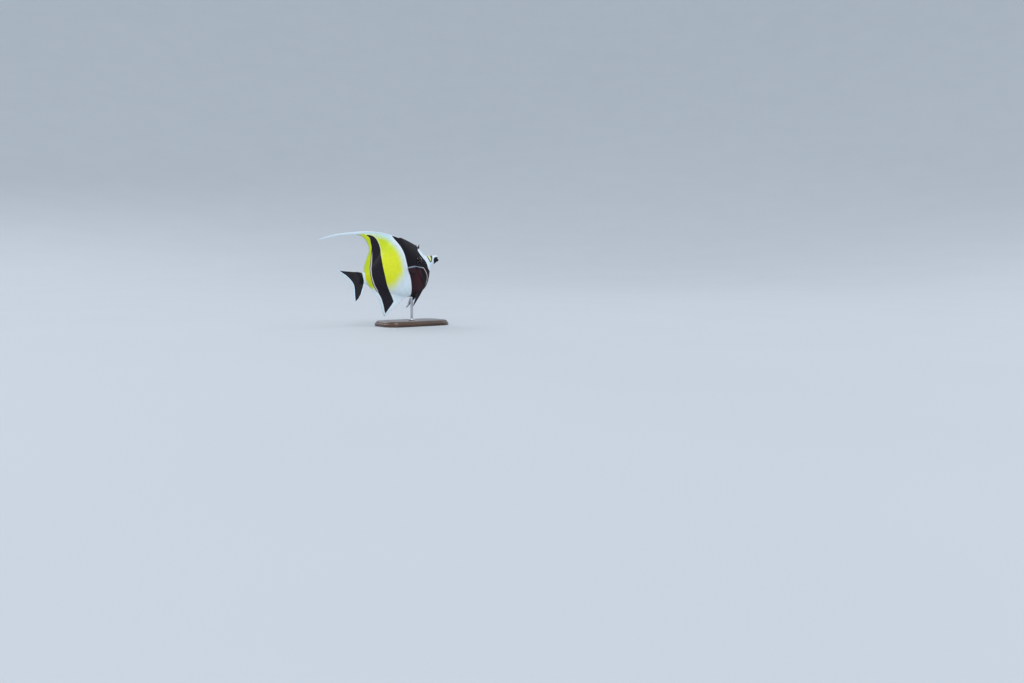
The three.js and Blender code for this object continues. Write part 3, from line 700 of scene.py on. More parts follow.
def body_ring(station):
    """One section of the skin as u, y, z: down the left side and up the right."""
    widest = float(WIDEST(station))
    top = outline_height(station, BACK, widest)
    bottom = outline_height(station, BELLY, widest)
    z = row_heights(station, bottom, top, SKIN_ROWS)
    u = gill_bent(station, z)
    half = filled_to_fins(flank(u, z), u, z)
    half[0] = half[-1] = 0
    room = smoothstep(flank(u, z), *RELIEF_ROOM)
    half = np.maximum(half + skin_relief(station, u, z) * room, 0)
    left = np.stack([u, half, z], axis=1)
    right = np.stack([u, -half, z], axis=1)[-2:0:-1]
    return np.concatenate([left, right])


def snout_rings():
    """The rounded end of the snout with its lips and the line of the mouth."""
    start_u = SNOUT_CAP
    start_z = float(WIDEST(SNOUT_CAP))
    join = body_ring(SNOUT_CAP)
    angle = np.arctan2(join[:, 1], join[:, 2] - start_z)
    rings = []
    for ring in range(1, SNOUT_RINGS):
        tilt = math.pi / 2 * ring / SNOUT_RINGS
        forward = np.full(len(angle), math.cos(tilt))
        side = math.sin(tilt) * np.sin(angle)
        up = math.sin(tilt) * np.cos(angle)
        ray = (start_u, start_z, forward, side, up)
        reach = exit_from_body(*ray)
        for lip in (UPPER_LIP, LOWER_LIP):
            reach = smooth_max(reach, exit_from_lip(lip, *ray), LIP_BLEND)
        u = start_u - reach * forward
        z = start_z + reach * up
        mouth_line = mix(MOUTH["height"], start_z, np.clip(u / SNOUT_CAP, 0, 1))
        slit = ridge(z - mouth_line, MOUTH["half_gap"])
        reach = reach - MOUTH["depth"] * slit * (1 - smoothstep(u, *MOUTH["fades"]))
        rings.append(
            np.stack([start_u - reach * forward, reach * side, start_z + reach * up], axis=1)
        )
    return rings


def stroked_to_part(u, y, z):
    return to_part(*tail_stroke(u, y, z))


def marks_of(places):
    return skin_marks(places[:, 0], places[:, 2])


def build_skin(materials):
    """The whole body in one closed skin, from the lips to inside the tail fin's root."""
    rings = snout_rings() + [body_ring(station) for station in skin_stations()]
    poles = [rings[0].mean(axis=0), rings[-1].mean(axis=0)]
    return ring_solid("skin", rings, poles, materials, marks_of, stroked_to_part)


# Fins


def curve_at(points, t):
    """Places along the smooth curve through the points, evenly spread by length."""
    corners = np.array(points, float)
    count = len(corners)
    fine = np.linspace(0, count - 1, CURVE_STEPS + 1)
    i = np.minimum(fine.astype(int), count - 2)
    w = (fine - i)[:, None]
    p0, p1 = corners[np.maximum(i - 1, 0)], corners[i]
    p2, p3 = corners[i + 1], corners[np.minimum(i + 2, count - 1)]
    v0, v1 = (p2 - p0) / 2, (p3 - p1) / 2
    curve = (2 * p1 - 2 * p2 + v0 + v1) * w**3
    curve += (-3 * p1 + 3 * p2 - 2 * v0 - v1) * w**2 + v0 * w + p1
    length = np.concatenate([[0], np.cumsum(np.hypot(*np.diff(curve, axis=0).T))])
    at = np.asarray(t, float) * length[-1]
    return np.stack([np.interp(at, length, curve[:, k]) for k in (0, 1)], axis=-1)


def bent_ray(root, rim, lift, s, notch=0.0):
    """A place along a ray that bends from its root to the fin's rim."""
    inward = root - rim
    inward = inward / np.linalg.norm(inward, axis=-1, keepdims=True)
    rim = rim + inward * np.asarray(notch)[..., None]
    bend = (root + rim) / 2 + lift
    s = np.asarray(s)[..., None]
    return (1 - s) ** 2 * root + 2 * s * (1 - s) * bend + s * s * rim


def median_fin(fin, edge, inward):
    """Places on the dorsal or the anal fin, and how far each is from the body's edge."""

    def place(t, s, notch):
        u = mix(fin["front"], fin["rear"], t)
        root = np.stack([u, edge(u) + inward * FIN_SINK], axis=-1)
        lift = np.array(fin["lift"]) * ((1 - t) ** 1.5)[..., None]
        point = bent_ray(root, curve_at(fin["rim"], t), lift, s, notch)
        from_root = np.hypot(*(point - root).T).T - FIN_SINK
        wave = MEDIAN_WAVE["height"] * np.sin(t * MEDIAN_WAVE["turns"])
        wave = wave * smoothstep(s, 0.5, 1) * smoothstep(t, *MEDIAN_WAVE["along"])
        return point[..., 0], wave, point[..., 1], from_root

    return place


def tail_place(t, s, notch):
    """Places on the tail fin, before its stroke."""
    fin = TAIL_FIN
    height = fin["root_height"] * (1 - 2 * t)
    root = np.stack([np.full_like(height, -FIN_SINK), height], axis=-1)
    top = np.array(fin["lift_top"])
    bottom = np.array(fin["lift_bottom"])
    lift = np.where((t < 0.5)[..., None], top, bottom) * np.abs(1 - 2 * t)[..., None]
    point = bent_ray(root, curve_at(fin["rim"], t), lift, s, notch)
    wave = TAIL_WAVE["height"] * np.sin(t * TAIL_WAVE["turns"] + TAIL_WAVE["start"])
    wave = wave * smoothstep(s, 0.5, 1)
    return BODY_LENGTH + point[..., 0], wave, point[..., 1], point[..., 0]


def pectoral_place(side):
    """Places on a pectoral fin, which leaves the flank and then lies along it."""
    fin = PECTORAL

    def place(t, s, notch):
        front, rear = (np.array(corner, float) for corner in fin["root"])
        root = mix(front, rear, t[..., None])
        point = bent_ray(root, curve_at(fin["rim"], t), np.zeros(2), s, notch)
        distance = np.hypot(*(point - root).T).T
        rising = np.minimum(1, distance / fin["root_length"])
        off = mix(-fin["sunk"], fin["standoff"], rising) + fin["lean"] * distance
        y = side * (flank(point[..., 0], point[..., 1]) + off)
        return point[..., 0], y, point[..., 1], distance

    return place


def pelvic_place(side):
    """Places on a pelvic fin, which hangs from the belly and leans outwards."""
    fin = PELVIC

    def place(t, s, notch):
        u = mix(fin["front"], fin["rear"], t)
        root = np.stack([u, BELLY(u) + FIN_SINK], axis=-1)
        lift = np.array(fin["lift"]) * (1 - t)[..., None]
        point = bent_ray(root, curve_at(fin["rim"], t), lift, s, notch)
        y = side * (fin["root_offset"] + fin["splay"] * s)
        distance = np.hypot(*(point - root).T).T - FIN_SINK
        return point[..., 0], y, point[..., 1], distance

    return place


def rim_reach(place, t, s):
    """How far a place on a fin is from the fin's rim, in millimetres."""
    u, _, z, _ = place(t, s, np.zeros_like(t))
    line = np.linspace(0, 1, RIM_STEPS + 1)
    rim_u, _, rim_z, _ = place(line, np.ones_like(line), np.zeros_like(line))
    return off_path(list(zip(rim_u, rim_z)), u, z)


def plain_sheath(half):
    """A sheath that thins with the distance from the root alone."""

    def thickness(u, z, distance):
        return half * np.exp(-np.maximum(0, distance) / SHEATH_REACH), WEB_HALF

    return thickness


def body_sheath(sheath):
    """The sheath that the body itself thins into."""

    def thickness(u, z, distance):
        root, outside = sheath(u, z)
        return root, skin_web(outside)

    return thickness


def fin_web(name, rays, place, materials, thickness, steps, to_frame):
    """The skin between the rays: two faces that meet at a thin, slightly ragged rim."""
    rows = WEB_ROWS
    columns = (rays - 1) * steps
    rim_t = np.linspace(0, 1, columns + 1)
    t, s = np.meshgrid(rim_t, np.arange(rows) / rows, indexing="ij")
    u, y, z, distance = place(t, s, np.zeros_like(t))
    root, skin = thickness(u, z, distance)
    half = skin * (1 - WEB_THINNING * s * s) + root * (1 - s**4)
    ragged = np.random.default_rng(RAY_SEED).uniform(*RIM_NOTCH, columns + 1)
    notch = ragged * np.abs(np.sin(math.pi * np.arange(columns + 1) / steps))
    rim_u, rim_y, rim_z, _ = place(rim_t, np.ones(columns + 1), notch)
    sides = [np.stack([u, y + sign * half, z], axis=-1) for sign in (1, -1)]
    sheet = np.stack(sides, axis=2).reshape(-1, 3)
    rim = np.stack([rim_u, rim_y, rim_z], axis=-1)
    places = np.concatenate([sheet, rim])

    def at(i, j, side):
        if j == rows:
            return len(sheet) + i
        return (i * rows + j) * 2 + side

    faces = []
    for i in range(columns):
        for j in range(rows):
            near = (at(i, j, 0), at(i + 1, j, 0), at(i + 1, j + 1, 0), at(i, j + 1, 0))
            far = (at(i, j, 1), at(i, j + 1, 1), at(i + 1, j + 1, 1), at(i + 1, j, 1))
            faces += [near, far]
        faces.append((at(i, 0, 1), at(i + 1, 0, 1), at(i + 1, 0, 0), at(i, 0, 0)))
    for i, turn in ((0, 1), (columns, -1)):
        for j in range(rows):
            quad = [at(i, j, 1), at(i, j, 0), at(i, j + 1, 0), at(i, j + 1, 1)][::turn]
            faces.append(tuple(dict.fromkeys(quad)))
    marks = marks_of(places)
    reach = rim_reach(place, t, s)
    marks["rim_distance"] = np.concatenate([np.repeat(reach.ravel(), 2), np.zeros(columns + 1)])
    marks["from_front"] = np.concatenate([np.repeat(t.ravel(), 2), rim_t])
    points = to_frame(*places.T)
    return make_piece(name, points, outward(points, faces), materials, marks)


def ray_lines(fin, place, to_frame):
    """Centre lines of the fin's rays, each of which parts in two on its way to the rim."""
    places, edges = [], []
    radii, from_front, reach = [], [], []
    steps = RAY["steps"]
    s = np.linspace(*RAY["ends"], steps)
    spacing = 1 / (fin["rays"] - 1)
    rng = np.random.default_rng(RAY_SEED + fin["rays"])
    for ray in range(fin["rays"]):
        fork = rng.uniform(*RAY["fork"])
        forked = ray >= fin["spines"]
        radius = fin["radius"] * mix(1.0, RAY["tip_share"], s)
        if forked:
            parting = smoothstep(s, fork - RAY["fork_blend"], fork + RAY["fork_blend"])
            radius = radius * mix(1.0, RAY["half_share"], parting)
        for spread in RAY["halves"] if forked else [0.0]:
            opening = RAY["opening"] * smoothstep(s, fork, RAY["open_at"])
            t = np.clip(ray * spacing + spread * spacing * opening, 0, 1)
            u, y, z, _ = place(t, s, np.zeros(steps))
            first = len(places) * steps
            places.append(np.stack([u, y, z], axis=-1))
            edges += [(first + k, first + k + 1) for k in range(steps - 1)]
            radii.append(radius)
            from_front.append(t)
            reach.append(rim_reach(place, t, s))
    places = np.concatenate(places)
    marks = marks_of(places)
    marks["ray_radius"] = np.concatenate(radii) * MM
    marks["from_front"] = np.concatenate(from_front)
    marks["rim_distance"] = np.concatenate(reach)
    return to_frame(*places.T), edges, marks


def ray_tube_tree():
    """Geometry nodes: a tube along every line, as thick as the line says at each point."""
    tree = bpy.data.node_groups.new("fin_ray_tubes", "GeometryNodeTree")
    tree.is_modifier = True
    new_socket = tree.interface.new_socket
    new_socket("Ray Lines", in_out="INPUT", socket_type="NodeSocketGeometry")
    new_socket("Thickness Attribute", in_out="INPUT", socket_type="NodeSocketString")
    new_socket("Sides", in_out="INPUT", socket_type="NodeSocketInt")
    new_socket("Material", in_out="INPUT", socket_type="NodeSocketMaterial")
    new_socket("Ray Tubes", in_out="OUTPUT", socket_type="NodeSocketGeometry")
    new = tree.nodes.new
    source, result = new("NodeGroupInput"), new("NodeGroupOutput")
    to_curve, sweep = new("GeometryNodeMeshToCurve"), new("GeometryNodeCurveToMesh")
    circle = new("GeometryNodeCurvePrimitiveCircle")
    thickness = new("GeometryNodeInputNamedAttribute")
    smooth, realize = new("GeometryNodeSetShadeSmooth"), new("GeometryNodeRealizeInstances")
    finish = new("GeometryNodeSetMaterial")
    circle.inputs["Radius"].default_value = 1.0
    sweep.inputs["Fill Caps"].default_value = True
    link = tree.links.new
    link(source.outputs["Ray Lines"], to_curve.inputs["Mesh"])
    link(source.outputs["Thickness Attribute"], thickness.inputs["Name"])
    link(source.outputs["Sides"], circle.inputs["Resolution"])
    link(to_curve.outputs["Curve"], sweep.inputs["Curve"])
    link(circle.outputs["Curve"], sweep.inputs["Profile Curve"])
    link(thickness.outputs["Attribute"], sweep.inputs["Scale"])
    link(sweep.outputs["Mesh"], smooth.inputs["Geometry"])
    link(smooth.outputs["Geometry"], realize.inputs["Geometry"])
    link(realize.outputs["Geometry"], finish.inputs["Geometry"])
    link(source.outputs["Material"], finish.inputs["Material"])
    link(finish.outputs["Geometry"], result.inputs["Ray Tubes"])
    return tree


def sweep_tubes(name, tree, points, edges, marks, material):
    """Runs the tube tree on a set of lines and keeps its result as a plain mesh."""
    mesh = bpy.data.meshes.new(name + "_lines")
    mesh.from_pydata(points.tolist(), edges, [])
    for mark, values in marks.items():
        attribute = mesh.attributes.new(mark, "FLOAT", "POINT")
        attribute.data.foreach_set("value", np.asarray(values, np.float32))
    lines = bpy.data.objects.new(name + "_lines", mesh)
    bpy.context.scene.collection.objects.link(lines)
    modifier = lines.modifiers.new("tubes", "NODES")
    modifier.node_group = tree
    values = {"Thickness Attribute": "ray_radius", "Sides": RAY["sides"], "Material": material}
    for socket in tree.interface.items_tree:
        if socket.name in values:
            modifier[socket.identifier] = values[socket.name]
    graph = bpy.context.evaluated_depsgraph_get()
    swept = bpy.data.meshes.new_from_object(lines.evaluated_get(graph))
    swept.name = name
    lines.modifiers.remove(modifier)
    bpy.data.objects.remove(lines)
    piece = bpy.data.objects.new(name, swept)
    bpy.context.scene.collection.objects.link(piece)
    return piece


def merged(name, pieces):
    """Several meshes as one piece."""
    bpy.ops.object.select_all(action="DESELECT")
    for piece in pieces:
        piece.select_set(True)
    bpy.context.view_layer.objects.active = pieces[0]
    bpy.ops.object.join()
    pieces[0].name = name
    pieces[0].data.name = name
    return pieces[0]


def build_fin(name, fin, place, materials, tree, thickness, steps=4, to_frame=to_part):
    """A fin's web and its rays as one piece, with steps columns of faces between two rays."""
    web = fin_web(name, fin["rays"], place, materials, thickness, steps, to_frame)
    tubes = sweep_tubes(name + "_rays", tree, *ray_lines(fin, place, to_frame), materials[0])
    return merged(name, [web, tubes])


def strand(name, centres, halves, thicks, materials):
    """A tapering strand, thicker along its upper edge than along its lower one."""
    around = STREAMER["sides"]
    turn = np.linspace(0, 2 * math.pi, around, endpoint=False)
    bulge = mix(1.0, STREAMER["middle_share"], 1 - np.cos(turn))
    u = np.repeat(centres[:, 0:1], around, axis=1)
    y = thicks[:, None] * np.sin(turn) * bulge
    z = centres[:, 1:2] + halves[:, None] * np.cos(turn)
    poles = [[centres[end, 0], 0, centres[end, 1]] for end in (0, -1)]
    rings = np.stack([u, y, z], axis=-1)
    return ring_solid(name, rings, poles, materials, marks_of, to_part)


def build_streamer(place, materials):
    """The long third spine: up the dorsal fin's leading edge and far out behind it."""
    steps = STREAMER["rising_steps"]
    s = np.linspace(*STREAMER["along_fin"], steps)
    u, _, z, _ = place(np.zeros(steps), s, np.zeros(steps))
    rising = np.stack([u, z], axis=-1)
    half = mix(STREAMER["root_half"], float(STREAMER_DEPTH(STREAMER_START)) / 2, s * s)
    thick = np.maximum(half * STREAMER_FLATNESS, STREAMER["thinnest"])
    out_start = STREAMER_START + STREAMER["step_over"]
    out_u = np.linspace(out_start, STREAMER_END, STREAMER["trailing_steps"])
    out_half = STREAMER_DEPTH(out_u) / 2
    trailing = np.stack([out_u, STREAMER_TOP(out_u) - out_half], axis=-1)
    taper = np.sqrt(np.clip((STREAMER_END - out_u) / STREAMER["taper"], 0.0, 1))
    out_half = out_half * np.maximum(taper, STREAMER["tip_share"])
    centres = np.concatenate([rising, trailing])
    halves = np.concatenate([half, out_half])
    thicks = np.concatenate([thick, out_half * STREAMER_FLATNESS])
    return strand("dorsal_streamer", centres, halves, thicks, materials)


# Eyes and horns


def eye_shell(name, side, radius, heights, poles, material):
    """A closed shell of rings about the eye's axis, which points out of the flank."""
    middle_u, middle_z = EYE["at"]
    middle_y = side * (float(flank(middle_u, middle_z)) - EYE["sunk"])
    polar = np.linspace(0, math.pi, EYE["rings"] + 2)[1:-1]
    turn = np.linspace(0, 2 * math.pi, EYE["around"], endpoint=False)
    height = heights(np.cos(polar), np.sin(polar))
    u = middle_u + radius * np.sin(polar)[:, None] * np.cos(turn)
    z = middle_z + radius * np.sin(polar)[:, None] * np.sin(turn)
    y = middle_y + side * np.repeat(height[:, None], EYE["around"], axis=1)
    ends = [[middle_u, middle_y + side * pole, middle_z] for pole in poles]

    def pupil_marks(places):
        away = np.hypot(places[:, 0] - middle_u, places[:, 2] - middle_z)
        return {"from_pupil": away}

    rings = np.stack([u, y, z], axis=-1)
    return ring_solid(name, rings, ends, [material], pupil_marks, to_part)


def build_eye(side, word, iris_material, cornea_material):
    """A hollowed iris with its pupil under a clear domed cornea."""
    depth, dish = EYE["depth"], EYE["dish"]
    front = depth * CORNEA["depth_share"]
    back_share = CORNEA["back_share"]

    def ball_height(out, across):
        dished = dish * (1 - smoothstep(across, *EYE["dish_edge"]))
        return depth * out - np.where(out > 0, dished, 0)

    def cornea_height(out, across):
        return front * np.where(out > 0, out, out * back_share)

    ball = eye_shell(f"eye_{word}", side, EYE["radius"], ball_height, (depth - dish, -depth),
                     iris_material)
    cornea = eye_shell(f"cornea_{word}", side, EYE["radius"] * CORNEA["radius_share"],
                       cornea_height, (front, -front * back_share), cornea_material)
    return ball, cornea


def build_horn(side, word, materials):
    """A short blunt spike that curves forward over the eye."""
    u, z = HORN["at"]
    direction = np.array([HORN_DIRECTION[0], side * HORN_DIRECTION[1], HORN_DIRECTION[2]])
    direction = direction / np.linalg.norm(direction)
    root = np.array([u, side * float(flank(u, z)), z]) - direction * HORN["sunk"]
    tip = root + direction * HORN["length"]
    across = np.cross(direction, [0, 1, 0])
    across = across / np.linalg.norm(across)
    third = np.cross(direction, across)
    share = np.linspace(0, 1, HORN["rings"])
    turn = np.linspace(0, 2 * math.pi, HORN["around"], endpoint=False)
    inner_power, outer_power = HORN["taper"]
    radius = HORN["radius"] * (1 - share**inner_power) ** outer_power
    radius = np.maximum(radius, HORN["tip_radius"])
    lean = HORN["lean"] * share * (1 - share)
    circle = np.cos(turn)[:, None] * across + np.sin(turn)[:, None] * third
    rings = []
    for step in range(HORN["rings"]):
        middle = root + direction * HORN["length"] * share[step] + across * lean[step]
        rings.append(middle + radius[step] * circle)
    marks = {"up_horn": np.concatenate([np.repeat(share, HORN["around"]), [0, 1]])}
    return ring_solid(f"horn_{word}", rings, [root, tip], materials, marks, to_part)


# The stand


def rounded_outline(inset):
    """A rounded rectangle seen from above, drawn in by inset, corner by corner."""
    x = BASE["length"] / 2 - inset
    y = BASE["width"] / 2 - inset
    r = max(BASE["corner"] - inset, BASE["least_corner"])
    corners = [(x - r, y - r, 0), (-x + r, y - r, 1), (-x + r, -y + r, 2), (x - r, -y + r, 3)]
    ring = []
    for cx, cy, quarter in corners:
        turn = math.pi / 2 * (quarter + np.linspace(0, 1, BASE["corner_steps"]))
        ring.append(np.stack([cx + r * np.cos(turn), cy + r * np.sin(turn)], axis=-1))
    return np.concatenate(ring)


def build_base(materials):
    """The wooden base, with a turned moulding round its upper edge."""
    rings = []
    for inset, height in BASE_EDGE:
        outline = rounded_outline(inset)
        rings.append(np.column_stack([outline, np.full(len(outline), height)]))
    poles = [[0, 0, 0], [0, 0, BASE["height"]]]
    return ring_solid("stand_base", rings, poles, materials)


def turned_rings(profile, around):
    """Circles about the upright axis, one for each radius and height of a profile."""
    turn = np.linspace(0, 2 * math.pi, around, endpoint=False)
    rings = []
    for radius, height in profile:
        x, y = radius * np.cos(turn), radius * np.sin(turn)
        rings.append(np.column_stack([x, y, np.full(around, height)]))
    return rings


def quarter_turns(first):
    """The angles of a rounded edge in the rod's profile."""
    steps = ROD["rounding_steps"]
    return [math.pi / 2 * step / steps for step in range(first, steps + 1)]


def rod_profile():
    """Radius and height up the rod: its collar, its fillet, its shaft and its rounded tip."""
    foot = BASE["height"]
    collar, radius, rounding = ROD["collar"], ROD["radius"], ROD["rounding"]
    lip, neck = foot + ROD["collar_lip"], foot + ROD["collar_height"]
    drop = -ROD["u"] * math.sin(NOSE_UP) + float(BELLY(ROD["u"])) * math.cos(NOSE_UP)
    top = FISH_Z + drop + ROD["into_belly"]
    tip, tip_start = ROD["tip_radius"], top - ROD["tip_length"]
    profile = [(collar - 0.25, foot + 0.02), (collar, foot + 0.3), (collar, lip)]
    for turn in quarter_turns(0):
        edge = collar - rounding + rounding * math.cos(turn)
        profile.append((edge, lip + rounding * math.sin(turn)))
    for turn in quarter_turns(0):
        edge = radius + rounding - rounding * math.sin(turn)
        profile.append((edge, neck + 0.3 - rounding * math.cos(turn)))
    profile += [(radius, neck + 1.0), (radius, tip_start)]
    for turn in quarter_turns(1):
        edge = tip + (radius - tip) * math.cos(turn)
        profile.append((edge, tip_start + ROD["tip_rise"] * math.sin(turn)))
    profile.append((tip, top))
    return profile


def build_rod(materials):
    profile = rod_profile()
    poles = [[0, 0, profile[0][1]], [0, 0, profile[-1][1]]]
    return ring_solid("stand_rod_turned", turned_rings(profile, ROD["around"]), poles, materials)


# Materials


def new_material(name):
    material = bpy.data.materials.new(name)
    material.use_nodes = True
    tree = material.node_tree
    tree.nodes.clear()
    output = tree.nodes.new("ShaderNodeOutputMaterial")
    surface = tree.nodes.new("ShaderNodeBsdfPrincipled")
    tree.links.new(surface.outputs["BSDF"], output.inputs["Surface"])
    return material, tree, surface


def set_values(node, values):
    for name, value in values.items():
        node.inputs[name].default_value = value


def attribute_value(tree, name):
    node = tree.nodes.new("ShaderNodeAttribute")
    node.attribute_name = name
    return node.outputs["Fac"]


def object_place(tree):
    return tree.nodes.new("ShaderNodeTexCoord").outputs["Object"]


def arithmetic(tree, operation, first, second):
    node = tree.nodes.new("ShaderNodeMath")
    node.operation = operation
    for socket, value in zip(node.inputs, (first, second)):
        if isinstance(value, (int, float)):
            socket.default_value = value
        else:
            tree.links.new(value, socket)
    return node.outputs["Value"]


def ramp_between(tree, value, low, high):
    """A mask that rises from 0 at low to 1 at high."""
    node = tree.nodes.new("ShaderNodeMapRange")
    node.interpolation_type = "SMOOTHSTEP"
    tree.links.new(value, node.inputs["Value"])
    set_values(node, {"From Min": low, "From Max": high})
    return node.outputs["Result"]


def both(tree, first, second):
    """The part that two masks share."""
    return arithmetic(tree, "MULTIPLY", first, second)


def within(tree, value, span):
    """How far a value lies inside a span, negative outside it."""
    low, high = span
    off_middle = arithmetic(tree, "SUBTRACT", value, (low + high) / 2)
    away = arithmetic(tree, "ABSOLUTE", off_middle, 0)
    return arithmetic(tree, "SUBTRACT", (high - low) / 2, away)


def paint_over(tree, under, mask, colour):
    """One coat of paint where the mask says."""
    node = tree.nodes.new("ShaderNodeMix")
    node.data_type = "RGBA"
    tree.links.new(mask, node.inputs["Factor"])
    for socket, value in ((node.inputs["A"], under), (node.inputs["B"], colour)):
        if isinstance(value, tuple):
            socket.default_value = (*value, 1)
        else:
            tree.links.new(value, socket)
    return node.outputs["Result"]


def group_tree(name, inputs, outputs):
    tree = bpy.data.node_groups.new(name, "ShaderNodeTree")
    for socket, kind in inputs:
        tree.interface.new_socket(socket, in_out="INPUT", socket_type=kind)
    for socket, kind in outputs:
        tree.interface.new_socket(socket, in_out="OUTPUT", socket_type=kind)
    return tree, tree.nodes.new("NodeGroupInput"), tree.nodes.new("NodeGroupOutput")


def mix_boxes(node):
    """The colour inputs and output of a Mix node, past its hidden number sockets."""
    colours = [socket for socket in node.inputs if socket.type == "RGBA"]
    result = [socket for socket in node.outputs if socket.type == "RGBA"][0]
    return colours[0], colours[1], result


def brushed_edge_group():
    """A marking's edge as on living skin: crisp, but wavering by a fraction of a scale."""
    tree, source, result = group_tree(
        "brushed_edge",
        [("Inside", "NodeSocketFloat"), ("Softness", "NodeSocketFloat"),
         ("Waver", "NodeSocketFloat")],
        [("Mask", "NodeSocketFloat")],
    )
    noise = tree.nodes.new("ShaderNodeTexNoise")
    set_values(noise, {"Scale": 900.0, "Detail": 3.0, "Roughness": 0.6})
    tree.links.new(object_place(tree), noise.inputs["Vector"])
    swing = arithmetic(tree, "SUBTRACT", noise.outputs["Fac"], 0.5)
    swing = arithmetic(tree, "MULTIPLY", swing, source.outputs["Waver"])
    shifted = arithmetic(tree, "ADD", source.outputs["Inside"], swing)
    scaled = arithmetic(tree, "DIVIDE", shifted, source.outputs["Softness"])
    tree.links.new(ramp_between(tree, scaled, -0.5, 0.5), result.inputs["Mask"])
    return tree


def fine_scales_group():
    """The rough coat of minute scales: a height for bump, and painted shade towards the scales'
    edges with a random mottle on it.
    """
    tree, source, result = group_tree(
        "fine_scales",
        [("Scales Per Metre", "NodeSocketFloat")],
        [("Height", "NodeSocketFloat"), ("Tone", "NodeSocketFloat")],
    )
    stretch = tree.nodes.new("ShaderNodeMapping")
    set_values(stretch, {"Rotation": (0, -NOSE_UP, 0), "Scale": (0.72, 1.0, 1.25)})
    tree.links.new(object_place(tree), stretch.inputs["Vector"])
    cells = tree.nodes.new("ShaderNodeTexVoronoi")
    cells.feature = "F1"
    tree.links.new(stretch.outputs["Vector"], cells.inputs["Vector"])
    tree.links.new(source.outputs["Scales Per Metre"], cells.inputs["Scale"])
    noise = tree.nodes.new("ShaderNodeTexNoise")
    set_values(noise, {"Scale": 160.0, "Detail": 5.0, "Roughness": 0.6})
    tree.links.new(object_place(tree), noise.inputs["Vector"])
    dome = arithmetic(tree, "MULTIPLY", cells.outputs["Distance"], -0.8)
    height = arithmetic(tree, "ADD", dome, noise.outputs["Fac"])
    tree.links.new(height, result.inputs["Height"])
    # Painted shade: darker towards the edge of each scale; the noise adds a random mottle.
    grain = arithmetic(tree, "MULTIPLY", cells.outputs["Distance"], 0.45)
    gap_shade_and_mottle = arithmetic(tree, "ADD", grain, noise.outputs["Fac"])
    tree.links.new(gap_shade_and_mottle, result.inputs["Tone"])
    return tree


def use_group(tree, group, values):
    node = tree.nodes.new("ShaderNodeGroup")
    node.node_tree = group
    for name, value in values.items():
        if isinstance(value, (int, float)):
            node.inputs[name].default_value = value
        else:
            tree.links.new(value, node.inputs[name])
    return node


def edge_mask(tree, group, inside, softness, waver):
    """A marking's mask, by how far inside the marking each place is."""
    values = {"Inside": inside, "Softness": softness, "Waver": waver}
    return use_group(tree, group, values).outputs["Mask"]


def bump(tree, surface, height, strength, distance):
    node = tree.nodes.new("ShaderNodeBump")
    set_values(node, {"Strength": strength, "Distance": distance})
    tree.links.new(height, node.inputs["Height"])
    tree.links.new(node.outputs["Normal"], surface.inputs["Normal"])


# Colours, and where on the fish one turns into the next

# The lowest white is painted lighter than the white above it: painted light that makes up for the
# shade on the downward-facing belly and anal fin.
LOWER_WHITE_PAINTED_LIGHT = (0.78, 0.90, 0.97)
BRIGHT_WHITE = (0.70, 0.82, 0.90)
TOP_WHITE = (0.66, 0.88, 0.98)
# EDGE_WHITE is the white beside the front band and the strip along the lower edge, which is partly
# painted highlight.
EDGE_WHITE = (0.80, 0.88, 0.98)
MARGIN_WHITE = (0.66, 0.84, 0.98)
LEMON = (0.66, 0.80, 0.030)
WARM_LEMON = (0.80, 0.86, 0.036)
CREAM = (0.80, 0.86, 0.42)
STRIP_YELLOW = (0.60, 0.70, 0.025)
DEEP_YELLOW = (0.68, 0.66, 0.010)
GREEN_MARGIN = (0.42, 0.66, 0.24)
INK = (0.008, 0.007, 0.011)
BAND_INK = (0.017, 0.013, 0.020)
RED_BROWN = (0.048, 0.013, 0.019)
LINE_WHITE = (0.62, 0.58, 0.66)
LINE_DARK = (0.045, 0.050, 0.030)
SADDLE_YELLOW = (0.74, 0.80, 0.38)
SADDLE_OLIVE = (0.085, 0.11, 0.012)
SADDLE_RIM = (0.055, 0.060, 0.028)
CHEEK_BLUE = (0.30, 0.36, 0.44)
CHEEK_ROSE = (0.72, 0.58, 0.54)
PECTORAL_WEB = (0.024, 0.008, 0.011)
PECTORAL_EDGE = (0.24, 0.28, 0.35)
PELVIC_EDGE = (0.46, 0.50, 0.60)
# The painted shade between the scales, which multiplies the skin's paint.
SCALE_GAP_PAINTED_SHADE = (0.90, 0.89, 0.87)
# The streamer's painted shade between its scales.
STREAMER_GAP_PAINTED_SHADE = (0.68, 0.80, 0.88)
IRIS_DARK = (0.016, 0.009, 0.007)
IRIS_FLECK = (0.034, 0.017, 0.010)
PUPIL_RING = (0.075, 0.042, 0.022)
PUPIL = (0.004, 0.004, 0.005)
IRIS_EDGE = (0.012, 0.010, 0.012)
HORN_TIP = (0.07, 0.075, 0.085)
WOOD = (0.105, 0.050, 0.025)
WOOD_FIGURE = (0.050, 0.022, 0.011)
WOOD_PORE = (0.030, 0.013, 0.007)
STEEL_LIGHT = (0.60, 0.61, 0.63)
STEEL_DARK = (0.50, 0.51, 0.53)
FLOOR_BLUE = (0.50, 0.54, 0.58)
FLOOR_PALE = (0.53, 0.57, 0.61)

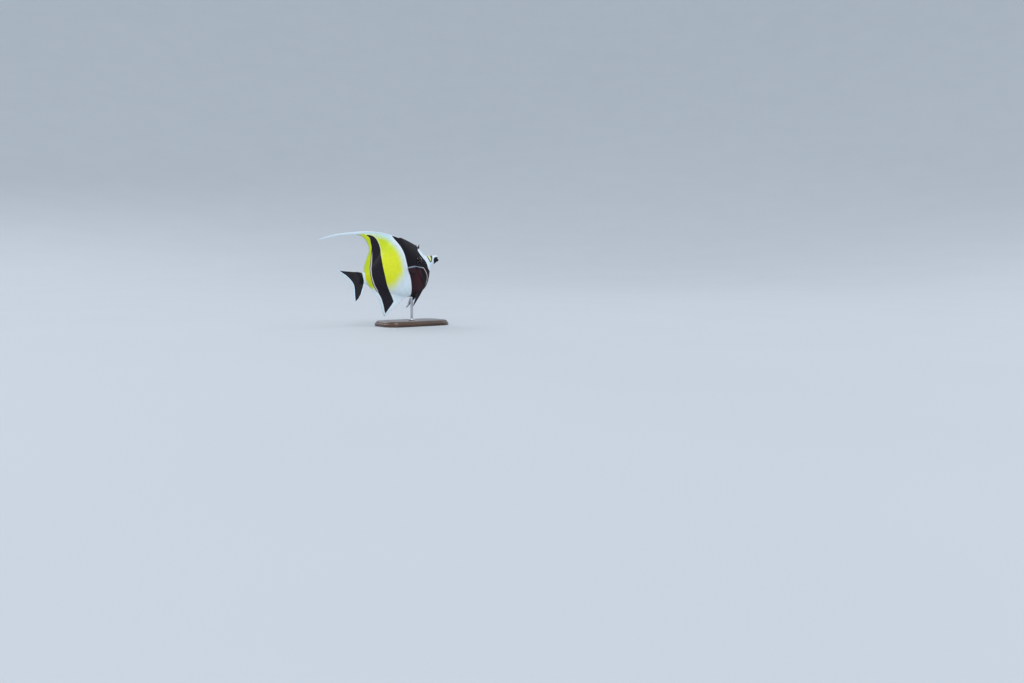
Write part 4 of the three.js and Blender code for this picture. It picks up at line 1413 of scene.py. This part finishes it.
# The heights over which the painted-light lower white turns into the plain white.
PAINTED_LIGHT_FADE = (-34, 0)
TOP_WHITE_FROM = (40, 58)
BESIDE_BLACK = (-4.5, -1.0)
LEMON_FROM = (22, 42)
LOWER_MARGIN_AND_HIGHLIGHT = (2.4, 1.0)
CREAM_STRIP = (-1.5, 0.5)
CREAM_FROM = (15, 50)
STRIP_ENDS = (70.5, 73.5)
LINES_TOP = (42, 30)
LINES_LOWER = (-30, -24)
DARK_LINE = (-0.9, 0.3)
PALE_LINE = (-2.4, -0.8)
FIN_MARGIN = 1.3
BAND_DRAWN_IN = 1.3
OLIVE_FRONT = (16.4, 15.2)
OLIVE_FROM = (2.5, 5.5)
CHEEK_LINE_SPAN = (-0.55, 0.55)
CHEEK_REAR = (71.5, 69.0)
CHEEK_LOWER = (-39, -34)
ROSY_FRONT = (46, 38)
TAIL_FROM = (142.4, 143.2)
TAIL_MARGIN = 1.7
IRIS_RING = (3.15, 2.75)
IRIS_PUPIL = (2.7, 2.5)
IRIS_RIM = (4.3, 4.9)
IRIS_RELIEF = (2.6, 3.0)

BODY_SCALES = 1250.0
FIN_SCALES = 1500.0
HORN_SCALES = 1100.0
SKIN_BUMP = (0.35, 0.00012)
FIN_BUMP = (0.3, 0.0001)


def skin_colour(tree, edge_group):
    """The paint of the body, the dorsal and the anal fin, coat over coat."""

    def mark(name):
        return attribute_value(tree, name)

    def edge(inside, softness=0.7, waver=0.6):
        return edge_mask(tree, edge_group, inside, softness, waver)

    def ramp(value, span):
        return ramp_between(tree, value, *span)

    rear_gap, height, along = mark("rear_gap"), mark("height"), mark("along")
    # Painted light: the white is painted lighter low on the body and the anal fin, where shade
    # falls.
    colour = paint_over(tree, LOWER_WHITE_PAINTED_LIGHT, ramp(height, PAINTED_LIGHT_FADE), BRIGHT_WHITE)
    colour = paint_over(tree, colour, ramp(height, TOP_WHITE_FROM), TOP_WHITE)
    colour = paint_over(tree, colour, ramp(mark("front_band"), BESIDE_BLACK), EDGE_WHITE)
    lemon = paint_over(tree, WARM_LEMON, ramp(height, LEMON_FROM), LEMON)
    colour = paint_over(tree, colour, mark("yellow"), lemon)
    # A white strip along the lower edge: partly a pale margin, partly a painted highlight along
    # that edge.
    colour = paint_over(tree, colour, ramp(mark("lower_edge"), LOWER_MARGIN_AND_HIGHLIGHT), EDGE_WHITE)
    cream = edge(within(tree, mark("band_front"), CREAM_STRIP), 0.8)
    cream = both(tree, ramp(height, CREAM_FROM), cream)
    colour = paint_over(tree, colour, cream, CREAM)

    strip = paint_over(tree, BRIGHT_WHITE, mark("rear_yellow"), STRIP_YELLOW)
    strip = paint_over(tree, strip, mark("orange"), DEEP_YELLOW)
    below_margin = arithmetic(tree, "SUBTRACT", 1.0, ramp(height, STRIP_ENDS))
    strip = paint_over(tree, BRIGHT_WHITE, below_margin, strip)
    colour = paint_over(tree, colour, edge(rear_gap), strip)
    margin = arithmetic(tree, "SUBTRACT", FIN_MARGIN, mark("rim_distance"))
    margin = both(tree, edge(margin, 1.2), edge(rear_gap))
    margin_colour = paint_over(tree, MARGIN_WHITE, mark("rear_yellow"), GREEN_MARGIN)
    colour = paint_over(tree, colour, margin, margin_colour)

    lined = both(tree, ramp(height, LINES_TOP), ramp(height, LINES_LOWER))
    dark_line = both(tree, edge(within(tree, rear_gap, DARK_LINE), 0.5, 0.3), lined)
    pale_line = both(tree, edge(within(tree, rear_gap, PALE_LINE), 0.6, 0.3), lined)
    drawn_in = arithmetic(tree, "MULTIPLY", ramp(height, LINES_TOP), BAND_DRAWN_IN)
    second_band = edge(arithmetic(tree, "SUBTRACT", mark("second_band"), drawn_in))
    colour = paint_over(tree, colour, dark_line, LINE_DARK)
    colour = paint_over(tree, colour, second_band, BAND_INK)
    colour = paint_over(tree, colour, pale_line, LINE_WHITE)
    flesh_black = paint_over(tree, INK, mark("reddish"), RED_BROWN)
    colour = paint_over(tree, colour, edge(mark("front_band")), flesh_black)

    colour = paint_over(tree, colour, edge(mark("saddle")), SADDLE_RIM)
    inner = arithmetic(tree, "SUBTRACT", mark("saddle"), SADDLE_RIM_WIDTH)
    olive = both(tree, ramp(along, OLIVE_FRONT), ramp(height, OLIVE_FROM))
    saddle = paint_over(tree, SADDLE_YELLOW, olive, SADDLE_OLIVE)
    colour = paint_over(tree, colour, edge(inner, 0.7, 0.3), saddle)
    colour = paint_over(tree, colour, edge(mark("jaw")), INK)
    cheek = edge(within(tree, mark("cheek"), CHEEK_LINE_SPAN), 0.5, 0.3)
    cheek = both(tree, cheek, ramp(along, CHEEK_REAR))
    cheek = both(tree, cheek, ramp(height, CHEEK_LOWER))
    cheek_colour = paint_over(tree, CHEEK_BLUE, ramp(along, ROSY_FRONT), CHEEK_ROSE)
    colour = paint_over(tree, colour, cheek, cheek_colour)

    tail = ramp(along, TAIL_FROM)
    pale_base = both(tree, edge(mark("tail_pale"), 1.8), tail)
    colour = paint_over(tree, colour, pale_base, BRIGHT_WHITE)
    black_base = both(tree, edge(mark("tail_black")), tail)
    return paint_over(tree, colour, black_base, INK)


def skin_material(edge_group, scales_group):
    """Satin living skin: the paint, with painted shade between the scales and a random mottle,
    over their fine relief.
    """
    material, tree, surface = new_material("idol_skin")
    scales = use_group(tree, scales_group, {"Scales Per Metre": BODY_SCALES})
    shaded = tree.nodes.new("ShaderNodeMix")
    shaded.data_type = "RGBA"
    shaded.blend_type = "MULTIPLY"
    under, over, result = mix_boxes(shaded)
    # Painted shade between the scales, with a random mottle.
    between = ramp_between(tree, scales.outputs["Tone"], 0.35, 1.1)
    tree.links.new(between, shaded.inputs["Factor"])
    tree.links.new(skin_colour(tree, edge_group), under)
    over.default_value = (*SCALE_GAP_PAINTED_SHADE, 1)
    tree.links.new(result, surface.inputs["Base Color"])
    roughness = arithmetic(tree, "MULTIPLY", scales.outputs["Tone"], 0.10)
    roughness = arithmetic(tree, "ADD", roughness, 0.36)
    tree.links.new(roughness, surface.inputs["Roughness"])
    set_values(surface, {"Specular IOR Level": 0.13, "Coat Weight": 0.04, "Coat Roughness": 0.2})
    bump(tree, surface, scales.outputs["Height"], *SKIN_BUMP)
    return material


def fin_finish(tree, surface, scales_group, colour, values):
    """The colour, the finish and the fine relief of a plain fin."""
    tree.links.new(colour, surface.inputs["Base Color"])
    scales = use_group(tree, scales_group, {"Scales Per Metre": FIN_SCALES})
    set_values(surface, values)
    bump(tree, surface, scales.outputs["Height"], *FIN_BUMP)


def tail_fin_material(edge_group, scales_group):
    """Black tail fin with a pale base and a pale, concave rear margin."""
    material, tree, surface = new_material("idol_tail_fin")

    def edge(inside):
        return edge_mask(tree, edge_group, inside, 0.5, 0.6)

    pale = edge(attribute_value(tree, "tail_pale"))
    colour = paint_over(tree, STRIP_YELLOW, pale, BRIGHT_WHITE)
    colour = paint_over(tree, colour, edge(attribute_value(tree, "tail_black")), INK)
    rim = arithmetic(tree, "SUBTRACT", TAIL_MARGIN, attribute_value(tree, "rim_distance"))
    colour = paint_over(tree, colour, edge(rim), MARGIN_WHITE)
    fin_finish(tree, surface, scales_group, colour, {"Roughness": 0.5, "Specular IOR Level": 0.2})
    return material


def pectoral_material(edge_group, scales_group):
    """Dark pectoral fin with a paler front edge."""
    material, tree, surface = new_material("idol_pectoral_fin")
    front = arithmetic(tree, "SUBTRACT", 0.08, attribute_value(tree, "from_front"))
    pale = edge_mask(tree, edge_group, front, 0.02, 0.01)
    colour = paint_over(tree, PECTORAL_WEB, pale, PECTORAL_EDGE)
    fin_finish(tree, surface, scales_group, colour, {"Roughness": 0.5, "Specular IOR Level": 0.22})
    return material


def pelvic_material(edge_group, scales_group):
    """Black pelvic fin with a paler rim."""
    material, tree, surface = new_material("idol_pelvic_fin")
    rim = arithmetic(tree, "SUBTRACT", 1.9, attribute_value(tree, "rim_distance"))
    pale = edge_mask(tree, edge_group, rim, 0.5, 0.01)
    colour = paint_over(tree, INK, pale, PELVIC_EDGE)
    fin_finish(tree, surface, scales_group, colour, {"Roughness": 0.5, "Specular IOR Level": 0.22})
    return material


def streamer_material(scales_group):
    """White streamer, with painted shade between its scales and a random mottle."""
    material, tree, surface = new_material("idol_streamer")
    scales = use_group(tree, scales_group, {"Scales Per Metre": FIN_SCALES})
    # Painted shade between the scales, with a random mottle.
    gap_shade_and_mottle = ramp_between(tree, scales.outputs["Tone"], 0.3, 1.1)
    colour = paint_over(tree, BRIGHT_WHITE, gap_shade_and_mottle, STREAMER_GAP_PAINTED_SHADE)
    tree.links.new(colour, surface.inputs["Base Color"])
    set_values(surface, {"Roughness": 0.4, "Coat Weight": 0.2, "Coat Roughness": 0.2})
    bump(tree, surface, scales.outputs["Height"], *FIN_BUMP)
    return material


def eye_materials():
    """A brown flecked iris with its pupil, and the clear cornea over it."""
    iris, tree, surface = new_material("idol_iris")
    away = attribute_value(tree, "from_pupil")
    noise = tree.nodes.new("ShaderNodeTexNoise")
    set_values(noise, {"Scale": 1400.0, "Detail": 4.0})
    tree.links.new(object_place(tree), noise.inputs["Vector"])
    flecks = ramp_between(tree, noise.outputs["Fac"], 0.4, 0.65)
    colour = paint_over(tree, IRIS_DARK, flecks, IRIS_FLECK)
    for span, paint in ((IRIS_RING, PUPIL_RING), (IRIS_PUPIL, PUPIL), (IRIS_RIM, IRIS_EDGE)):
        colour = paint_over(tree, colour, ramp_between(tree, away, *span), paint)
    tree.links.new(colour, surface.inputs["Base Color"])
    set_values(surface, {"Roughness": 0.6, "Specular IOR Level": 0.08})
    relief = both(tree, noise.outputs["Fac"], ramp_between(tree, away, *IRIS_RELIEF))
    bump(tree, surface, relief, *FIN_BUMP)

    cornea, tree, surface = new_material("idol_cornea")
    set_values(surface, {"Base Color": (1, 1, 1, 1), "Roughness": 0.02, "IOR": 1.376})
    set_values(surface, {"Transmission Weight": 1.0})
    return iris, cornea


def horn_material(scales_group):
    """Black horn that pales to grey at its tip."""
    material, tree, surface = new_material("idol_horn")
    scales = use_group(tree, scales_group, {"Scales Per Metre": HORN_SCALES})
    rising = ramp_between(tree, attribute_value(tree, "up_horn"), 0.5, 1.0)
    colour = paint_over(tree, INK, rising, HORN_TIP)
    tree.links.new(colour, surface.inputs["Base Color"])
    set_values(surface, {"Roughness": 0.45})
    bump(tree, surface, scales.outputs["Height"], 0.3, 0.00012)
    return material


def wood_material():
    """Dark stained wood with long grain and a satin varnish."""
    material, tree, surface = new_material("stand_walnut")
    mapping = tree.nodes.new("ShaderNodeMapping")
    set_values(mapping, {"Scale": (1.0, 9.0, 9.0), "Rotation": (0, 0, 0.06)})
    tree.links.new(object_place(tree), mapping.inputs["Vector"])
    broad = tree.nodes.new("ShaderNodeTexNoise")
    set_values(broad, {"Scale": 9.0, "Detail": 5.0, "Roughness": 0.55, "Distortion": 0.6})
    fine = tree.nodes.new("ShaderNodeTexNoise")
    set_values(fine, {"Scale": 90.0, "Detail": 6.0, "Roughness": 0.65})
    for noise in (broad, fine):
        tree.links.new(mapping.outputs["Vector"], noise.inputs["Vector"])
    figure = ramp_between(tree, broad.outputs["Fac"], 0.35, 0.65)
    colour = paint_over(tree, WOOD, figure, WOOD_FIGURE)
    pores = ramp_between(tree, fine.outputs["Fac"], 0.52, 0.66)
    colour = paint_over(tree, colour, pores, WOOD_PORE)
    tree.links.new(colour, surface.inputs["Base Color"])
    roughness = arithmetic(tree, "MULTIPLY", pores, 0.18)
    roughness = arithmetic(tree, "ADD", roughness, 0.30)
    tree.links.new(roughness, surface.inputs["Roughness"])
    set_values(surface, {"Coat Weight": 0.35, "Coat Roughness": 0.12})
    bump(tree, surface, fine.outputs["Fac"], 0.25, 0.00015)
    return material


def steel_material():
    """Steel brushed round the rod."""
    material, tree, surface = new_material("stand_steel")
    mapping = tree.nodes.new("ShaderNodeMapping")
    set_values(mapping, {"Scale": (12.0, 12.0, 500.0)})
    tree.links.new(object_place(tree), mapping.inputs["Vector"])
    brushed = tree.nodes.new("ShaderNodeTexNoise")
    set_values(brushed, {"Scale": 14.0, "Detail": 3.0})
    tree.links.new(mapping.outputs["Vector"], brushed.inputs["Vector"])
    colour = paint_over(tree, STEEL_LIGHT, brushed.outputs["Fac"], STEEL_DARK)
    tree.links.new(colour, surface.inputs["Base Color"])
    roughness = arithmetic(tree, "MULTIPLY", brushed.outputs["Fac"], 0.16)
    roughness = arithmetic(tree, "ADD", roughness, 0.20)
    tree.links.new(roughness, surface.inputs["Roughness"])
    set_values(surface, {"Metallic": 1.0})
    bump(tree, surface, brushed.outputs["Fac"], 0.2, 0.00005)
    return material


# The studio


FLOOR = {"flat": (1.2, 2.5), "around": 96, "steps": 24, "reach": 11.5, "rise": 7.0, "curve": 2.2}
LIGHTS = [
    ("key_light", (-2.7, -4.5, 4.5), 3.6, 150.0),
    ("fill_light", (4.2, -1.8, 2.7), 4.0, 45.0),
    ("back_light", (-0.6, 4.2, 3.9), 3.6, 60.0),
]
LIGHT_TARGET = (-0.05, 0, 0.09)
AIR_COLOUR = (0.86, 0.92, 1.0)
AIR_STRENGTH = 0.90


def floor_material():
    material, tree, surface = new_material("studio_floor")
    noise = tree.nodes.new("ShaderNodeTexNoise")
    set_values(noise, {"Scale": 3.0, "Detail": 2.0})
    tree.links.new(object_place(tree), noise.inputs["Vector"])
    colour = paint_over(tree, FLOOR_BLUE, noise.outputs["Fac"], FLOOR_PALE)
    tree.links.new(colour, surface.inputs["Base Color"])
    set_values(surface, {"Roughness": 0.75})
    return material


def build_floor():
    """A pale floor that rises far away."""
    around = FLOOR["around"]
    profile = [(radius, 0.0) for radius in FLOOR["flat"]]
    for step in range(1, FLOOR["steps"] + 1):
        share = step / FLOOR["steps"]
        radius = FLOOR["flat"][-1] + FLOOR["reach"] * share
        profile.append((radius, FLOOR["rise"] * share ** FLOOR["curve"]))
    rings = turned_rings(profile, around)
    places = np.concatenate([np.zeros((1, 3)), *rings])
    faces = [tuple(reversed(face)) for face in ring_faces(len(rings), around, 1)]
    faces += [(0, 1 + k, 1 + (k + 1) % around) for k in range(around)]
    make_piece("studio_floor", places, faces, [floor_material()])


def build_light():
    """Soft round lights and an even pale surround."""
    for name, place, size, power in LIGHTS:
        light = bpy.data.lights.new(name, "AREA")
        light.shape = "DISK"
        light.size = size
        light.energy = power
        lamp = bpy.data.objects.new(name, light)
        lamp.location = place
        lamp.rotation_mode = "QUATERNION"
        towards = Vector(LIGHT_TARGET) - Vector(place)
        lamp.rotation_quaternion = towards.to_track_quat("-Z", "Y")
        bpy.context.scene.collection.objects.link(lamp)
    world = bpy.data.worlds.new("studio_air")
    world.use_nodes = True
    air = world.node_tree.nodes["Background"]
    set_values(air, {"Color": (*AIR_COLOUR, 1), "Strength": AIR_STRENGTH})
    bpy.context.scene.world = world
    bpy.context.scene.view_settings.view_transform = "Standard"


def build_camera():
    """The camera where the photograph was taken from."""
    data = bpy.data.cameras.new("camera")
    data.lens = CAMERA_LENS
    data.sensor_width = 36.0
    data.clip_start, data.clip_end = 0.02, 60.0
    camera = bpy.data.objects.new("camera", data)
    camera.location = CAMERA_PLACE
    level = math.cos(CAMERA_PITCH)
    forward = Vector((math.cos(CAMERA_HEADING) * level, math.sin(CAMERA_HEADING) * level,
                      math.sin(CAMERA_PITCH)))
    camera.rotation_mode = "QUATERNION"
    camera.rotation_quaternion = forward.to_track_quat("-Z", "Y")
    bpy.context.scene.collection.objects.link(camera)
    bpy.context.scene.camera = camera


def finish_piece(piece, slot, *nodes):
    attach(piece, "root")
    if nodes:
        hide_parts(*nodes)


build_camera()
build_floor()
build_light()

edges = brushed_edge_group()
scales = fine_scales_group()
skin_paint = skin_material(edges, scales)
tail_paint = tail_fin_material(edges, scales)
streamer_paint = streamer_material(scales)
pectoral_paint = pectoral_material(edges, scales)
pelvic_paint = pelvic_material(edges, scales)
iris_paint, cornea_glass = eye_materials()
horn_paint = horn_material(scales)
tubes = ray_tube_tree()

finish_piece(build_skin([skin_paint]), "skin_yellow", "snout", "head", "torso", "tail_stem")

dorsal_place = median_fin(DORSAL, BACK, -1)
dorsal = build_fin("dorsal_fin_skin", DORSAL, dorsal_place, [skin_paint], tubes,
                   body_sheath(BACK_SHEATH))
finish_piece(dorsal, "skin_yellow", "dorsal_fin")
streamer = build_streamer(dorsal_place, [streamer_paint])
finish_piece(streamer, "skin_white", "dorsal_streamer_front", "dorsal_streamer_middle",
             "dorsal_streamer_tip")
anal = build_fin("anal_fin_skin", ANAL, median_fin(ANAL, BELLY, 1), [skin_paint], tubes,
                 body_sheath(BELLY_SHEATH))
finish_piece(anal, "skin_yellow", "anal_fin")
tail = build_fin("tail_fin_skin", TAIL_FIN, tail_place, [tail_paint], tubes,
                 plain_sheath(SHEATH_HALF), 8, stroked_to_part)
finish_piece(tail, "skin_black", "tail_fin")

for side, word in ((1, "left"), (-1, "right")):
    pectoral = build_fin(f"pectoral_fin_{word}_skin", PECTORAL, pectoral_place(side),
                         [pectoral_paint], tubes, plain_sheath(0.0))
    finish_piece(pectoral, "skin_black", f"pectoral_fin_{word}")
    pelvic = build_fin(f"pelvic_fin_{word}_skin", PELVIC, pelvic_place(side), [pelvic_paint],
                       tubes, plain_sheath(PELVIC_SHEATH_HALF), 10)
    finish_piece(pelvic, "skin_black", f"pelvic_fin_{word}")
    ball, cornea = build_eye(side, word, iris_paint, cornea_glass)
    finish_piece(ball, "eye", f"eye_{word}")
    finish_piece(cornea, "eye", f"eye_{word}")
    finish_piece(build_horn(side, word, [horn_paint]), "skin_black", f"horn_{word}")

finish_piece(build_base([wood_material()]), "stand_wood", "stand_base")
finish_piece(build_rod([steel_material()]), "stand_steel", "stand_rod")
